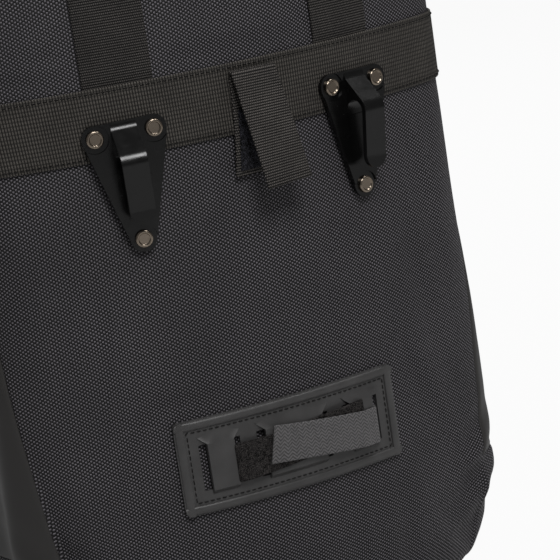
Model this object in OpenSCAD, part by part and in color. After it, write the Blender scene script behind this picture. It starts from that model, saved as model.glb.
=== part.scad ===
// Pannier bag: a soft body with a crowned back, two rack hooks, a strap plate, webbing handles and a zip top.
// The hooked back faces -Y, the floor is at z = 0 and the origin is the centre of the base.

/* [Bag body] */
// Width across the sides
body_w = 308; // [290:1:330]
// Depth from the crown of the back to the crown of the front
body_d = 186; // [176:1:220]
// Height of the top edge above the floor
body_h = 432; // [420:1:480]
// Radius of the round back
back_r = 344; // [310:1:450]
// Radius of the round front
front_r = 420; // [340:1:600]
// Radius of the upright corners
corner_r = 35; // [30:1:40]
// Thickness of a fabric wall with its lining
wall_t = 3; // [2:0.5:4]
// Gap between two panels at a sewn seam
seam_gap = 0.3; // [0.2:0.1:0.6]
// Gap between layers that are sewn or riveted together
lay_gap = 0.2; // [0.1:0.05:0.3]
// Distance of the side seams from the crown of the back, at the base panel
seam_low = 31; // [28:1:45]
// Distance of the side seams from the crown of the back, at the top edge
seam_top = 63; // [50:1:80]

/* [Base and boards] */
// Height of the base panel up the walls
base_h = 92; // [75:1:105]
// How far the foot of the base panel is drawn in
base_in = 36; // [24:1:44]
// Sharpness of the base panel's turn
base_turn = 1.5; // [1.2:0.1:2.4]
// Thickness of the floor
floor_t = 3; // [2:0.5:5]
// Thickness of the stiffening boards
board_t = 2.5; // [1.5:0.5:4]
// Width of the back board, round its curve
back_board_w = 252; // [200:1:260]
// Distance of the back board from the base panel and from the top edge
back_board_edge = 34; // [20:1:60]
// Distance of the base board from the foot of the walls
base_board_edge = 10; // [9:1:20]

/* [Webbing] */
// Width of the band and the handles
webbing_w = 40; // [30:1:44]
// Thickness of the webbing
webbing_t = 1.6; // [1.2:0.1:2.4]
// Height of the band's top edge above the upper rivets
band_rise = 26.5; // [24:0.5:34]
// Distance of each handle end from the middle
handle_x = 70; // [56:1:90]
// Height above the top edge where the free loops start
loop_start = 14; // [10:1:24]
// Straight height of a loop's legs
loop_leg = 60; // [40:1:90]

/* [Hooks] */
// Height of the upper rivets above the floor
hook_z = 340.5; // [325:0.5:360]
// Distance between the two hooks
hook_pitch = 143; // [130:1:160]
// Distance between a hook's two upper rivets
rivet_across = 33.4; // [31:0.2:38]
// Drop from the upper rivets to the lower one
rivet_drop = 59.6; // [57:0.2:68]
// Radius of the hook plate round each rivet
hook_corner_r = 7.4; // [6.6:0.2:9]
// Thickness of the hook plate at the rivets
hook_plate_t = 2.4; // [2:0.2:3]
// Height of the raised middle above the rivet seats
hook_raise = 1; // [0.6:0.2:2]
// How far the rivets' round seats reach past the plate's corners into the raised middle
seat_more = 0.6; // [0.4:0.2:1.2]
// Radius of the rail that the hook takes
rail_r = 6; // [5:0.5:6.5]
// Clearance round the rail
rail_gap = 0.1; // [0.05:0.05:0.2]
// Drop from the upper rivets to the rail's centre
rail_drop = 15; // [14:0.5:17]
// Width of the tongue
tongue_w = 14.5; // [12:0.5:16]
// Thickness of the tongue
tongue_t = 3; // [2.4:0.2:4]
// Drop from the upper rivets to the tongue's tip
tongue_drop = 49; // [45:0.5:50]
// Angle at which the tongue leans back to the plate
tongue_lean = 7; // [0:0.5:8]
// Radius of the hollow above the tongue
tongue_hollow = 6; // [4:0.5:8]
// How far the tip turns out
tip_flare = 1.2; // [0.4:0.2:2]
// Length of the turned tip
tip_l = 9; // [6:0.5:12]
// Angle by which the hooks' lower ends are set towards the middle
hook_toe = 1.5; // [0:0.5:3]
// Thickness of the grip pad behind the tongue
pad_t = 0.8; // [0.6:0.1:1]

/* [Rivets] */
// Diameter of the caps
cap_d = 10; // [8:0.5:12]
// Thickness of the caps
cap_t = 2; // [1.4:0.1:2.6]
// Diameter of the shanks
shank_d = 4; // [3:0.2:4.6]
// Clearance round the shanks
shank_gap = 0.15; // [0.1:0.05:0.3]
// Diameter of the washers inside the bag
washer_d = 13; // [11:0.5:14]
// Thickness of the washers
washer_t = 1.2; // [0.8:0.1:2]
// Diameter of the riveted tails
tail_d = 7; // [6:0.2:8]
// Thickness of the riveted tails
tail_t = 1.5; // [1:0.1:2]

/* [Centre strap] */
// Distance of the strap from the middle
leaf_x = 6; // [0:1:12]
// Width of the strap
leaf_w = 28; // [22:1:34]
// Height of the fold above the upper rivets
leaf_rise = 19.5; // [16:0.5:23]
// Drop of the inner leaf's end
inner_drop = 37; // [30:1:44]
// Drop of the outer leaf's end
outer_drop = 44; // [40:1:54]
// Gap between the two leaves at the fold
fold_gap = 2.4; // [1.6:0.2:4]
// Angle at which the outer leaf stands away
leaf_lean = 15; // [8:1:20]
// Sideways slant of the outer leaf
leaf_slant = 4; // [0:0.5:6]
// Width of the hook and loop patches
patch_w = 22; // [18:1:26]
// Length of the hook and loop patches
patch_l = 34; // [24:1:38]
// Thickness of the hook and loop patches
patch_t = 1; // [0.6:0.1:1.4]
// Distance of the patches from the leaves' ends
patch_edge = 3; // [2:0.5:6]
// Clearance where a soft hinge turns
turn_gap = 0.3; // [0.2:0.1:0.5]

/* [Strap plate] */
// Width of the plate, round its curve
plate_w = 143; // [136:1:160]
// Height of the plate
plate_h = 56; // [50:1:64]
// Drop from the upper rivets to the plate's centre
plate_drop = 196.5; // [150:0.5:210]
// Radius of the plate's corners
plate_corner_r = 5; // [3:0.5:8]
// Thickness of the plate's sheet
sheet_t = 2; // [1.6:0.2:2.6]
// Width of the raised rim
rim_w = 5.6; // [4:0.2:6]
// Height of the raised rim above the sheet
rim_raise = 1.6; // [1:0.2:2.4]
// Width of the slots at the bridges' ends
slot_w = 4.5; // [4:0.1:5.4]
// Height of the slots
slot_h = 27.4; // [25:0.2:30]
// Width of the middle bridge
mid_bridge_w = 37.4; // [32:0.2:40]
// Width of the two end bridges
end_bridge_w = 16; // [13:0.5:18]
// Distance of the end bridges from the middle one
end_bridge_x = 46; // [44:0.5:50]
// Height of the way under a bridge
tunnel_h = 2.6; // [2.2:0.1:3.2]
// Thickness of a bridge
bridge_t = 2; // [1.4:0.2:2.6]
// Height of the bevel above a bridge
bevel_h = 4; // [3:0.5:5]
// Height of the bevel below a bridge
lip_h = 2; // [1.5:0.5:4]

/* [Plate strap] */
// Width of the hook-and-loop strap
strap_w = 22; // [16:0.5:24]
// Thickness of the strap
strap_t = 1.5; // [1.2:0.1:1.8]
// Distance of the left fold from the middle
left_fold = 37.4; // [34:0.2:37.4]
// Distance of the dark tail's end from the middle
dark_end = 46; // [30:1:50]
// Distance of the grey tail's cut end from the middle
grey_end = 17; // [4:1:20]
// Distance of the grey tail's hinge from the middle
grey_hinge = 53; // [51:0.5:55]
// Rise of the dark tail's end
dark_rise = 5.5; // [0:0.5:6]
// Rise of the grey tail's cut end
grey_rise = 6.2; // [0:0.2:8]
// Sag of the grey tail at its hinge
grey_sag = 1.9; // [0:0.1:2.4]
// Slant of the grey tail's cut end
grey_cut = 5.4; // [0:0.2:8]

/* [Top closure] */
// Depth of the top panel below the top edge
top_drop = 6; // [5:0.5:12]
// Thickness of the top panel and its flaps
flap_t = 2; // [1.5:0.5:3]
// Distance of the way in from the sides
mouth_side = 36; // [34:1:54]
// Depth of the way in
mouth_d = 112; // [96:1:120]
// Gap round the flaps
flap_gap = 0.6; // [0.4:0.1:1]
// Width of the channel between the flaps
channel_w = 16; // [14:0.5:20]
// Width of one zip tape
tape_w = 15; // [12:0.5:18]
// Thickness of the zip tape
tape_t = 0.9; // [0.6:0.1:1.2]
// Gap between the two tapes
zip_gap = 1.6; // [1.4:0.1:2]
// Width of one coil
coil_w = 2.2; // [1.8:0.1:2.8]
// Thickness of the coil
coil_t = 1.6; // [1.2:0.1:2]
// Length of the fixed zip ends
zip_end = 27; // [24:1:29]
// Length of the slider
slider_l = 14; // [10:0.5:15]
// Width of the slider
slider_w = 9; // [8:0.5:12]
// Thickness of the slider's plates
slider_t = 1.2; // [0.8:0.1:1.6]
// Running clearance of the slider
slider_gap = 0.3; // [0.2:0.05:0.5]
// Length of the pull
pull_l = 20; // [14:1:21]
// Width of the pull
pull_w = 7; // [5:0.5:9]
// Thickness of the pull
pull_t = 1.2; // [0.8:0.1:1.6]
// Diameter of the pull's pin
pin_d = 1.6; // [1.2:0.1:2]

/* [Hidden] */
$fn = 96;
over = 1;

// Plan outline: round back and front, four round corners and two straight sides
back_y = -body_d / 2;
front_y = body_d / 2;
back_centre = [0, back_y + back_r];
front_centre = [0, front_y - front_r];
corner_x = body_w / 2 - corner_r;
back_a = asin(corner_x / (back_r - corner_r));
front_a = asin(corner_x / (front_r - corner_r));
corner_back_y = back_centre[1] - (back_r - corner_r) * cos(back_a);
corner_front_y = front_centre[1] + (front_r - corner_r) * cos(front_a);
seam_lean = atan((seam_top - seam_low) / (body_h - base_h));
round_n = 24;
corner_n = 8;
base_n = 8;

// Layers on the back, measured out from the fabric
band_out = lay_gap + webbing_t;
band_top = hook_z + band_rise;
hook_seat = band_out + lay_gap;

// Hook: rivets in its own frame, and the rail's place out from its plate
rivets = [[-rivet_across / 2, 0], [rivet_across / 2, 0], [0, -rivet_drop]];
hook_t = hook_plate_t + hook_raise;
throat_r = rail_r + rail_gap;
throat_step = 0.15;
lip_cross = 0.05;
rail_out = hook_t + throat_step + throat_r;
bend_r = throat_r + tongue_t;
half = sqrt(0.5);
hollow_z = -rail_drop + rail_out - hook_t + 2 * bend_r * half + tongue_hollow * (2 * half - 1);
pad_top = -rail_drop - sqrt(pow(throat_r, 2) - pow(rail_out - hook_t - pad_t, 2)) - lay_gap;
pad_end = -tongue_drop + tip_l / 2;
nub_r = 1;
nub_h = 0.6;
nub_x = tongue_w / 2 + 1.5 * nub_r;
nub_drop = 21.5;
function washer_sag(x) = back_r - sqrt(pow(back_r, 2) - pow(x + washer_d / 2, 2));
function washer_seat(p) = hook_seat + wall_t + lay_gap + board_t + washer_sag(abs(p[0])) + lay_gap;
cap_round = cap_t / 2;

// Centre strap
leaf_seat = band_out + lay_gap;
leaf_t = webbing_t;
bead_r = leaf_t / 2 + 0.15;
leaf_turn = [0, -1.5 * leaf_t - fold_gap, leaf_rise - bead_r - turn_gap];
outer_l = (outer_drop + leaf_turn[2]) / cos(leaf_lean);

// Strap plate, measured out from the fabric
plate_z = hook_z - plate_drop;
sheet_out = lay_gap + sheet_t;
rim_out = sheet_out + rim_raise;
tunnel_out = lay_gap + tunnel_h;
bridge_out = tunnel_out + bridge_t;
slot_top = slot_h / 2 - 1;
slot_low = slot_top - slot_h;
bridges = [[-end_bridge_x, end_bridge_w], [0, mid_bridge_w], [end_bridge_x, end_bridge_w]];

// Plate strap, measured out from the fabric to the middle of the strap
under_out = lay_gap * 2 + strap_t / 2;
over_out = sheet_out + turn_gap + strap_t / 2;
dark_out = bridge_out + turn_gap + strap_t / 2;
grey_out = dark_out + strap_t + turn_gap;
grey_bead = strap_t / 2 + 0.15;
strap_z = plate_z + slot_low + strap_w / 2 + 1.4;
mid_slot = mid_bridge_w / 2 + slot_w / 2;
right_in_slot = end_bridge_x - end_bridge_w / 2 - slot_w / 2;
right_out_slot = end_bridge_x + end_bridge_w / 2 + slot_w / 2;
bend_n = 8;

// Top closure
mouth_w = body_w - 2 * mouth_side;
top_z = body_h - top_drop;
tape_top = top_z - flap_t - lay_gap;
coil_top = tape_top - tape_t - lay_gap;
flap_x = mouth_w / 2 - flap_gap;
park_gap = 1.5;
zip_park = mouth_w / 2 + flap_gap + park_gap + slider_l / 2;
end_slot = zip_park + slider_l / 2 + park_gap;
slider_top = tape_top + slider_gap + slider_t;
slider_low = coil_top - coil_t - slider_gap;
post_l = 3;
post_t = zip_gap - 2 * slider_gap;
lug_t = 1.2;
eye_w = 3.4;
eye_r = pin_d / 2 + 1;
pin_gap = 0.15;
pin_z = slider_top + eye_r + slider_gap;
stop_l = 3;
stop_t = 1;

// Points along an arc, both ends included
function arc(centre, r, from, to, n) =
    [for (i = [0:n]) centre + r * [cos(from + (to - from) * i / n), sin(from + (to - from) * i / n)]];

// Plan outline, drawn in by a given distance
function outline(inset) = concat(
    [for (i = [1:round_n - 1]) arc(back_centre, back_r - inset, -90 - back_a, -90 + back_a, round_n)[i]],
    arc([corner_x, corner_back_y], corner_r - inset, -90 + back_a, 0, corner_n),
    arc([corner_x, corner_front_y], corner_r - inset, 0, 90 - front_a, corner_n),
    [for (i = [1:round_n - 1]) arc(front_centre, front_r - inset, 90 - front_a, 90 + front_a, round_n)[i]],
    arc([-corner_x, corner_front_y], corner_r - inset, 90 + front_a, 180, corner_n),
    arc([-corner_x, corner_back_y], corner_r - inset, 180, 270 - back_a, corner_n));

// Share of the full inset that the base panel has reached at a height
function base_share(z) = pow(1 - z / base_h, base_turn);

// The plan outline at a height of the base panel
function base_ring(inset, z) = [for (p = outline(inset)) [
    p[0] * (1 - base_in * base_share(z) / (body_w / 2)),
    p[1] * (1 - base_in * base_share(z) / (body_d / 2)),
    z]];

// Ease from 0 to 1 with level ends
function ease(s) = s * s * (3 - 2 * s);

// Four corners of a ribbon's section at a point, with its run along t and its face along n
function ribbon_ring(p, t, n, w, thick) = let (b = cross(t, n) * w / 2, f = n * thick / 2)
    [p + b + f, p + b - f, p - b - f, p - b + f];

// Place round the back, measured along its curve, at a distance out from the fabric
function round_back(s, out) = let (a = s / back_r * 180 / PI)
    [(back_r + out) * sin(a), back_centre[1] - (back_r + out) * cos(a)];

// One of the two triangles between ring points j and k; both walls of a ribbon are split the same way
function skin_face(at, n, j, k, half) = j < n / 2
    ? (half == 0 ? [at + j, at + n + j, at + n + k] : [at + j, at + n + k, at + k])
    : (half == 0 ? [at + j, at + n + j, at + k] : [at + n + j, at + n + k, at + k]);

// Closed solid through a row of rings with the same number of points
module skin(rings) {
    n = len(rings[0]);
    last = len(rings) - 1;
    polyhedron(
        points = [for (ring = rings) each ring],
        faces = concat(
            [[for (j = [0:n - 1]) j]],
            [[for (j = [n - 1:-1:0]) last * n + j]],
            [for (i = [0:last - 1], j = [0:n - 1], half = [0, 1]) skin_face(i * n, n, j, (j + 1) % n, half)]));
}

// Upright sheet bent about a vertical line
module bent_sheet(centre, r_in, r_out, from, to, z0, z1) {
    translate([centre[0], centre[1], z0])
        rotate([0, 0, from])
            rotate_extrude(angle = to - from)
                translate([r_in, 0])
                    square([r_out - r_in, z1 - z0]);
}

// Upright wall along the plan outline: its outer face stands out from the fabric by a given distance
module wall(out, t, z0, z1) {
    translate([0, 0, z0])
        linear_extrude(z1 - z0)
            difference() {
                polygon(outline(-out));
                polygon(outline(t - out));
            }
}

// Space in front of the two slanting side seams
module past_side_seam(shift) {
    translate([0, back_y + seam_low + shift, base_h])
        rotate([-seam_lean, 0, 0])
            translate([-body_w, 0, -body_h])
                cube([2 * body_w, 2 * body_d, 2 * body_h]);
}

// Places children on the round back: their -Y points out of the bag
module on_back(x, z, out) {
    translate([0, back_centre[1], z])
        rotate([0, 0, asin(x / back_r)])
            translate([0, -back_r - out, 0])
                children();
}

// Sheet over part of the round back, given along its curve
module on_curve(s0, s1, z0, z1, out0, out1) {
    bent_sheet(back_centre, back_r + out0, back_r + out1,
        -90 + s0 / back_r * 180 / PI, -90 + s1 / back_r * 180 / PI, z0, z1);
}

// Straight prism through the back along Y, from an outline drawn in x and z
module through_back() {
    translate([0, back_y + corner_r, 0])
        rotate([90, 0, 0])
            linear_extrude(2 * corner_r)
                children();
}

// Places children in a hook's frame: its back is the plane y = 0, its upper rivets are at z = 0
module at_hook(side) {
    on_back(side * hook_pitch / 2, hook_z, hook_seat)
        rotate([0, side * hook_toe, 0])
            children();
}

// Bores for the rivets of both hooks
module rivet_holes() {
    for (side = [-1, 1], p = rivets)
        at_hook(side)
            translate([p[0], 0, p[1]])
                rotate([90, 0, 0])
                    cylinder(d = shank_d + 2 * shank_gap, h = 2 * corner_r, center = true);
}

module back_panel() {
    color("#23242b")
        difference() {
            wall(0, wall_t, base_h, body_h);
            past_side_seam(0);
            rivet_holes();
        }
}

module side_panel() {
    color("#2b2927")
        intersection() {
            wall(0, wall_t, base_h, body_h);
            past_side_seam(seam_gap);
            translate([0, -body_d, 0])
                cube([body_w, body_d + corner_front_y, 2 * body_h]);
        }
}

module left_side_panel() {
    mirror([1, 0, 0])
        side_panel();
}

module right_side_panel() {
    side_panel();
}

module front_panel() {
    color("#2b2927")
        intersection() {
            wall(0, wall_t, base_h, body_h);
            translate([-body_w, corner_front_y + seam_gap, 0])
                cube([2 * body_w, body_d, 2 * body_h]);
        }
}

module base_panel() {
    top = base_h - seam_gap;
    color("#23242b")
        skin(concat(
            [for (k = [0:base_n]) base_ring(0, top * k / base_n)],
            [for (k = [base_n:-1:0]) base_ring(wall_t, floor_t + (top - floor_t) * k / base_n)]));
}

module top_panel() {
    notch_w = 2 * (end_slot + stop_l + park_gap);
    color("#23242b")
        translate([0, 0, top_z - flap_t])
            linear_extrude(flap_t)
                difference() {
                    polygon(outline(wall_t + seam_gap));
                    square([mouth_w, mouth_d], center = true);
                    square([notch_w, channel_w], center = true);
                }
}

module back_board() {
    out = -wall_t - lay_gap;
    color("#3a3a3a")
        difference() {
            on_curve(-back_board_w / 2, back_board_w / 2, base_h + back_board_edge, body_h - back_board_edge,
                out - board_t, out);
            rivet_holes();
        }
}

module base_board() {
    w = body_w - 2 * (base_in + wall_t + base_board_edge);
    d = body_d - 2 * (base_in + wall_t + base_board_edge);
    r = corner_r - wall_t - base_board_edge;
    color("#3a3a3a")
        translate([0, 0, floor_t + lay_gap])
            linear_extrude(board_t) {
                square([w - 2 * r, d], center = true);
                square([w, d - 2 * r], center = true);
                for (x = [-1, 1], y = [-1, 1])
                    translate([x * (w / 2 - r), y * (d / 2 - r)])
                        circle(r);
            }
}

module webbing_band() {
    color("#2e2b27")
        difference() {
            wall(band_out, webbing_t, band_top - webbing_w, band_top);
            past_side_seam(-seam_gap);
            rivet_holes();
        }
}

// Outline of the hook plate, round its three rivets
module hook_outline() {
    hull()
        for (p = rivets)
            translate(p)
                circle(hook_corner_r, $fn = 48);
}

// Points on an arc, from one angle to another
function arc_points(c, r, a0, a1) =
    [for (i = [0:2 * bend_n]) let (a = a0 + (a1 - a0) * i / (2 * bend_n)) c + r * [cos(a), sin(a)]];

// Side view of the tongue: x is the distance out from the plate, y is the height
module tongue_side() {
    bend = [rail_out, -rail_drop];
    reach = (tongue_drop - rail_drop) / cos(tongue_lean);
    along = [cos(tongue_lean), -sin(tongue_lean)];
    down = [along[1], -along[0]];
    wall_r = throat_r - lip_cross;
    difference() {
        polygon(concat(
            [[hook_plate_t, -rail_drop], [hook_plate_t, hollow_z]],
            arc_points([hook_t + tongue_hollow, hollow_z], tongue_hollow, 180, 225),
            arc_points(bend, bend_r, 45, -tongue_lean),
            [for (p = [[bend_r, reach - tip_l], [bend_r + tip_flare, reach], [throat_r + tip_flare, reach],
                [wall_r, reach - tip_l], [wall_r, 0]]) bend + along * p[0] + down * p[1]],
            [bend]));
        translate(bend)
            circle(throat_r);
    }
}

// Front view of the tongue, with its round tip
module tongue_front() {
    r = tongue_w / 2;
    translate([0, r - tongue_drop])
        circle(r);
    translate([-r, r - tongue_drop])
        square([tongue_w, tongue_drop + hollow_z]);
}

module hook() {
    depth = rail_out + bend_r + tongue_drop * sin(tongue_lean) + tip_flare;
    color("#1b1b1b")
        difference() {
            union() {
                rotate([90, 0, 0])
                    linear_extrude(hook_plate_t)
                        hook_outline();
                rotate([90, 0, 0])
                    linear_extrude(hook_t)
                        difference() {
                            hook_outline();
                            for (p = rivets)
                                translate(p)
                                    circle(hook_corner_r + seat_more);
                        }
                translate([-tongue_w / 2, -hook_t - pad_t, pad_end])
                    cube([tongue_w, pad_t + hook_raise, pad_top - pad_end]);
                for (side = [-1, 1])
                    translate([side * nub_x, -hook_plate_t, -nub_drop])
                        rotate([90, 0, 0])
                            cylinder(r = nub_r, h = hook_raise + nub_h);
                intersection() {
                    rotate([90, 0, -90])
                        linear_extrude(2 * tongue_w, center = true)
                            tongue_side();
                    rotate([90, 0, 0])
                        linear_extrude(depth)
                            tongue_front();
                }
            }
            for (p = rivets)
                translate([p[0], 0, p[1]])
                    rotate([90, 0, 0])
                        cylinder(d = shank_d + 2 * shank_gap, h = 4 * hook_t, center = true);
        }
}

// One rivet along its axis: round-edged cap, shank and riveted tail on a washer at a depth
module rivet(seat) {
    grip = hook_plate_t + seat + washer_t;
    rotate_extrude() {
        translate([0, hook_plate_t])
            square([cap_d / 2, cap_t - cap_round]);
        translate([0, hook_plate_t])
            square([cap_d / 2 - cap_round, cap_t]);
        translate([cap_d / 2 - cap_round, hook_plate_t + cap_t - cap_round])
            circle(cap_round);
        translate([0, hook_plate_t - grip - tail_t])
            square([shank_d / 2, grip + tail_t + cap_t / 2]);
        translate([0, hook_plate_t - grip - tail_t])
            square([tail_d / 2, tail_t]);
    }
}

// Places children at a rivet of a hook: their +Z points out of the bag
module at_rivet(side, p) {
    at_hook(side)
        translate([p[0], 0, p[1]])
            rotate([90, 0, 0])
                children();
}

module hook_rivets(side) {
    color("#c8c4ba")
        for (p = rivets)
            at_rivet(side, p)
                rivet(washer_seat(p));
}

module rivet_washers(side) {
    color("#9a9a9a")
        for (p = rivets)
            at_rivet(side, p)
                translate([0, 0, -washer_seat(p) - washer_t])
                    difference() {
                        cylinder(d = washer_d, h = washer_t);
                        translate([0, 0, -over])
                            cylinder(d = shank_d + 2 * shank_gap, h = washer_t + 2 * over);
                    }
}

module left_hook() {
    at_hook(-1)
        hook();
}

module right_hook() {
    at_hook(1)
        hook();
}

module left_hook_rivets() {
    hook_rivets(-1);
}

module right_hook_rivets() {
    hook_rivets(1);
}

module left_rivet_washers() {
    rivet_washers(-1);
}

module right_rivet_washers() {
    rivet_washers(1);
}

// Handle on a face of radius r whose crown is at -Y: where its legs stand, and how they are turned
function leg_turn(r) = asin(handle_x / r);
function leg_place(r) = let (out = r + lay_gap + webbing_t / 2)
    [out * sin(leg_turn(r)), back_y + r - out * cos(leg_turn(r))];
loop_z = body_h + loop_start;

// Right-hand sewn end: flat on the face, then turning square to the bag above the top edge
module handle_end(r, z0) {
    n = 6;
    top = loop_z - bead_r - turn_gap;
    place = leg_place(r);
    turns = concat([leg_turn(r)], [for (i = [0:n]) leg_turn(r) * (1 - ease(i / n))]);
    heights = concat([z0], [for (i = [0:n]) body_h + (top - body_h) * i / n]);
    color("#2e2b27")
        skin([for (i = [0:n + 1])
            ribbon_ring([place[0], place[1], heights[i]], [0, 0, 1], [sin(turns[i]), -cos(turns[i]), 0],
                webbing_w, webbing_t)]);
}

// Free loop: two legs and a half round, turning so that the grip lies flat under a hand
module handle_loop(r) {
    leg_n = 6;
    arch_n = 24;
    place = leg_place(r);
    reach = place[0];
    half_run = loop_leg + reach * PI / 2;
    path = concat(
        [for (i = [0:leg_n - 1]) [-reach, loop_leg * i / leg_n, 0, loop_leg * i / leg_n]],
        [for (i = [0:arch_n]) let (a = 180 * i / arch_n, run = loop_leg + reach * a * PI / 180)
            [-reach * cos(a), loop_leg + reach * sin(a), a, min(run, 2 * half_run - run)]],
        [for (i = [leg_n - 1:-1:0]) [reach, loop_leg * i / leg_n, 180, loop_leg * i / leg_n]]);
    color("#2e2b27")
        translate([0, place[1], loop_z]) {
            skin([for (s = path) let (a = s[2], w = 90 * ease(s[3] / half_run))
                ribbon_ring([s[0], 0, s[1]], [sin(a), 0, cos(a)],
                    [-cos(a) * sin(w), -cos(w), sin(a) * sin(w)], webbing_w, webbing_t)]);
            for (side = [-1, 1])
                translate([side * reach, 0, 0])
                    rotate([0, 90, 0])
                        cylinder(r = bead_r, h = webbing_w, center = true);
        }
}

module rear_handle_left_end() {
    mirror([1, 0, 0])
        handle_end(back_r, band_top + seam_gap);
}

module rear_handle_right_end() {
    handle_end(back_r, band_top + seam_gap);
}

module rear_handle_loop() {
    handle_loop(back_r);
}

module front_handle_left_end() {
    rotate([0, 0, 180])
        handle_end(front_r, band_top - webbing_w);
}

module front_handle_right_end() {
    mirror([0, 1, 0])
        handle_end(front_r, band_top - webbing_w);
}

module front_handle_loop() {
    mirror([0, 1, 0])
        handle_loop(front_r);
}

// Inner leaf of the centre strap, with the fold over its top
module centre_strap_inner() {
    fold_r = fold_gap / 2;
    color("#2e2b27")
        on_back(leaf_x, hook_z, leaf_seat) {
            translate([-leaf_w / 2, -leaf_t, -inner_drop])
                cube([leaf_w, leaf_t, inner_drop + leaf_rise]);
            translate([0, -leaf_t - fold_r, leaf_rise])
                rotate([0, 90, 0])
                    difference() {
                        cylinder(r = fold_r + leaf_t, h = leaf_w, center = true);
                        cylinder(r = fold_r, h = leaf_w + 2 * over, center = true);
                        translate([0, -leaf_w, -leaf_w])
                            cube(2 * leaf_w);
                    }
        }
}

module centre_strap_loop_patch() {
    color("#3c3c40")
        on_back(leaf_x, hook_z, leaf_seat)
            translate([-patch_w / 2, -leaf_t - lay_gap - patch_t, patch_edge - inner_drop])
                cube([patch_w, patch_t, patch_l]);
}

// Places children in the outer leaf's frame, at its turning line
module on_outer_leaf() {
    on_back(leaf_x, hook_z, leaf_seat)
        translate(leaf_turn)
            rotate([-leaf_lean, 0, 0])
                children();
}

// Front outline of a piece of the slanting leaf: its width, its start below the turning line and its length
module slanted(w, start, l) {
    end = start + l;
    rise = w * tan(leaf_slant);
    polygon([[start * tan(leaf_slant) - w / 2, -start], [start * tan(leaf_slant) + w / 2, -start],
        [end * tan(leaf_slant) + w / 2, rise - end], [end * tan(leaf_slant) - w / 2, -end]]);
}

module centre_strap_outer() {
    color("#2e2b27")
        on_outer_leaf() {
            rotate([90, 0, 0])
                linear_extrude(leaf_t, center = true)
                    slanted(leaf_w, 0, outer_l);
            rotate([0, 90, 0])
                cylinder(r = bead_r, h = leaf_w, center = true);
        }
}

module centre_strap_hook_patch() {
    color("#202020")
        on_outer_leaf()
            translate([0, leaf_t / 2 + lay_gap + patch_t, 0])
                rotate([90, 0, 0])
                    linear_extrude(patch_t)
                        slanted(patch_w, outer_l - patch_edge - patch_l, patch_l);
}

// Corner that is rounded off the strap plate, drawn in x and z
module plate_corners() {
    r = plate_corner_r;
    for (i = [-1, 1], j = [-1, 1])
        translate([i * (round_back(plate_w / 2, rim_out)[0] - r), j * (plate_h / 2 - r)])
            difference() {
                translate([i * r, j * r])
                    square(2 * r, center = true);
                circle(r + seam_gap);
            }
}

// Half-round section of the rim: x is the distance out from the fabric, y runs in from the edge
module rim_section(drop) {
    root = sheet_out - sheet_t / 2;
    step = rim_raise / 5;
    rise = rim_raise - drop - step;
    edge = rim_w / 10;
    polygon(concat(
        [[root, 0]],
        [for (i = [0:bend_n]) let (a = 180 * i / bend_n)
            [sheet_out + step + rise * sin(a), rim_w - (rim_w - edge) / 2 * (1 + cos(a))]],
        [[root, rim_w]]));
}

// Raised rim: beads along the top and bottom, and slightly lower ones up the sides
module plate_rim() {
    a = plate_w / 2 / back_r * 180 / PI;
    side_drop = rim_raise / 20;
    inset = rim_w / 20;
    for (end = [0, 1])
        mirror([0, 0, end])
            translate([0, back_centre[1], 0])
                rotate([0, 0, -90 - a])
                    rotate_extrude(angle = 2 * a)
                        translate([back_r, -plate_h / 2])
                            rim_section(0);
    for (side = [0, 1])
        mirror([side, 0, 0])
            translate([0, back_centre[1], inset - plate_h / 2])
                rotate([0, 0, -90 - a])
                    translate([back_r, inset])
                        linear_extrude(plate_h - 2 * inset)
                            rim_section(side_drop);
}

// A bridge before its way is cut: a flat block with a bevel above it that flares out over the slots
module bridge(s, w) {
    root = sheet_out - sheet_t / 2;
    steep = (bridge_out - root) / bridge_t;
    hood_a = (w + 4 * slot_w) / back_r * 180 / PI;
    top = slot_top + bevel_h * steep;
    low = slot_low - lip_h * steep;
    flare_z = slot_top + seam_gap;
    flare = (top + over - flare_z) * slot_w / bevel_h;
    difference() {
        translate([0, back_centre[1], 0])
            rotate([0, 0, -90 + s / back_r * 180 / PI - hood_a / 2])
                rotate_extrude(angle = hood_a)
                    translate([back_r, 0])
                        polygon([[root, low], [bridge_out, slot_low], [bridge_out, slot_top], [root, top]]);
        for (side = [0, 1])
            through_back()
                translate([round_back(s, sheet_out)[0], 0])
                    mirror([side, 0])
                        polygon([[w / 2, low - over], [w / 2 + 4 * slot_w, low - over],
                            [w / 2 + 4 * slot_w, top + over], [w / 2 + flare, top + over], [w / 2, flare_z]]);
    }
}

module strap_plate() {
    color("#3c3a38")
        translate([0, 0, plate_z])
            difference() {
                union() {
                    plate_rim();
                    on_curve(-plate_w / 2, plate_w / 2, -plate_h / 2, plate_h / 2, lay_gap, sheet_out);
                    for (b = bridges)
                        bridge(b[0], b[1]);
                }
                through_back()
                    plate_corners();
                for (b = bridges)
                    on_curve(b[0] - b[1] / 2 - slot_w, b[0] + b[1] / 2 + slot_w, slot_low, slot_top,
                        -over, tunnel_out);
            }
}

// Part of a half turn in plan, from one distance out to another, round a place on the curve
function fold(s, out0, out1, side) =
    [for (i = [0:bend_n]) let (a = 180 * i / bend_n)
        [s + side * abs(out1 - out0) / 2 * sin(a), (out0 + out1) / 2 - (out1 - out0) / 2 * cos(a)]];

// Ribbon drawn in plan along places on the curve, with a thickness, between two heights
module plan_ribbon(path, thick, z0, z1) {
    points = [for (p = path) round_back(p[0], p[1])];
    last = len(points) - 1;
    runs = [for (i = [0:last]) points[min(i + 1, last)] - points[max(i - 1, 0)]];
    sides = [for (v = runs) [-v[1], v[0]] / norm(v) * thick / 2];
    translate([0, 0, z0])
        linear_extrude(z1 - z0)
            polygon(concat(
                [for (i = [0:last]) points[i] + sides[i]],
                [for (i = [last:-1:0]) points[i] - sides[i]]));
}

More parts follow.
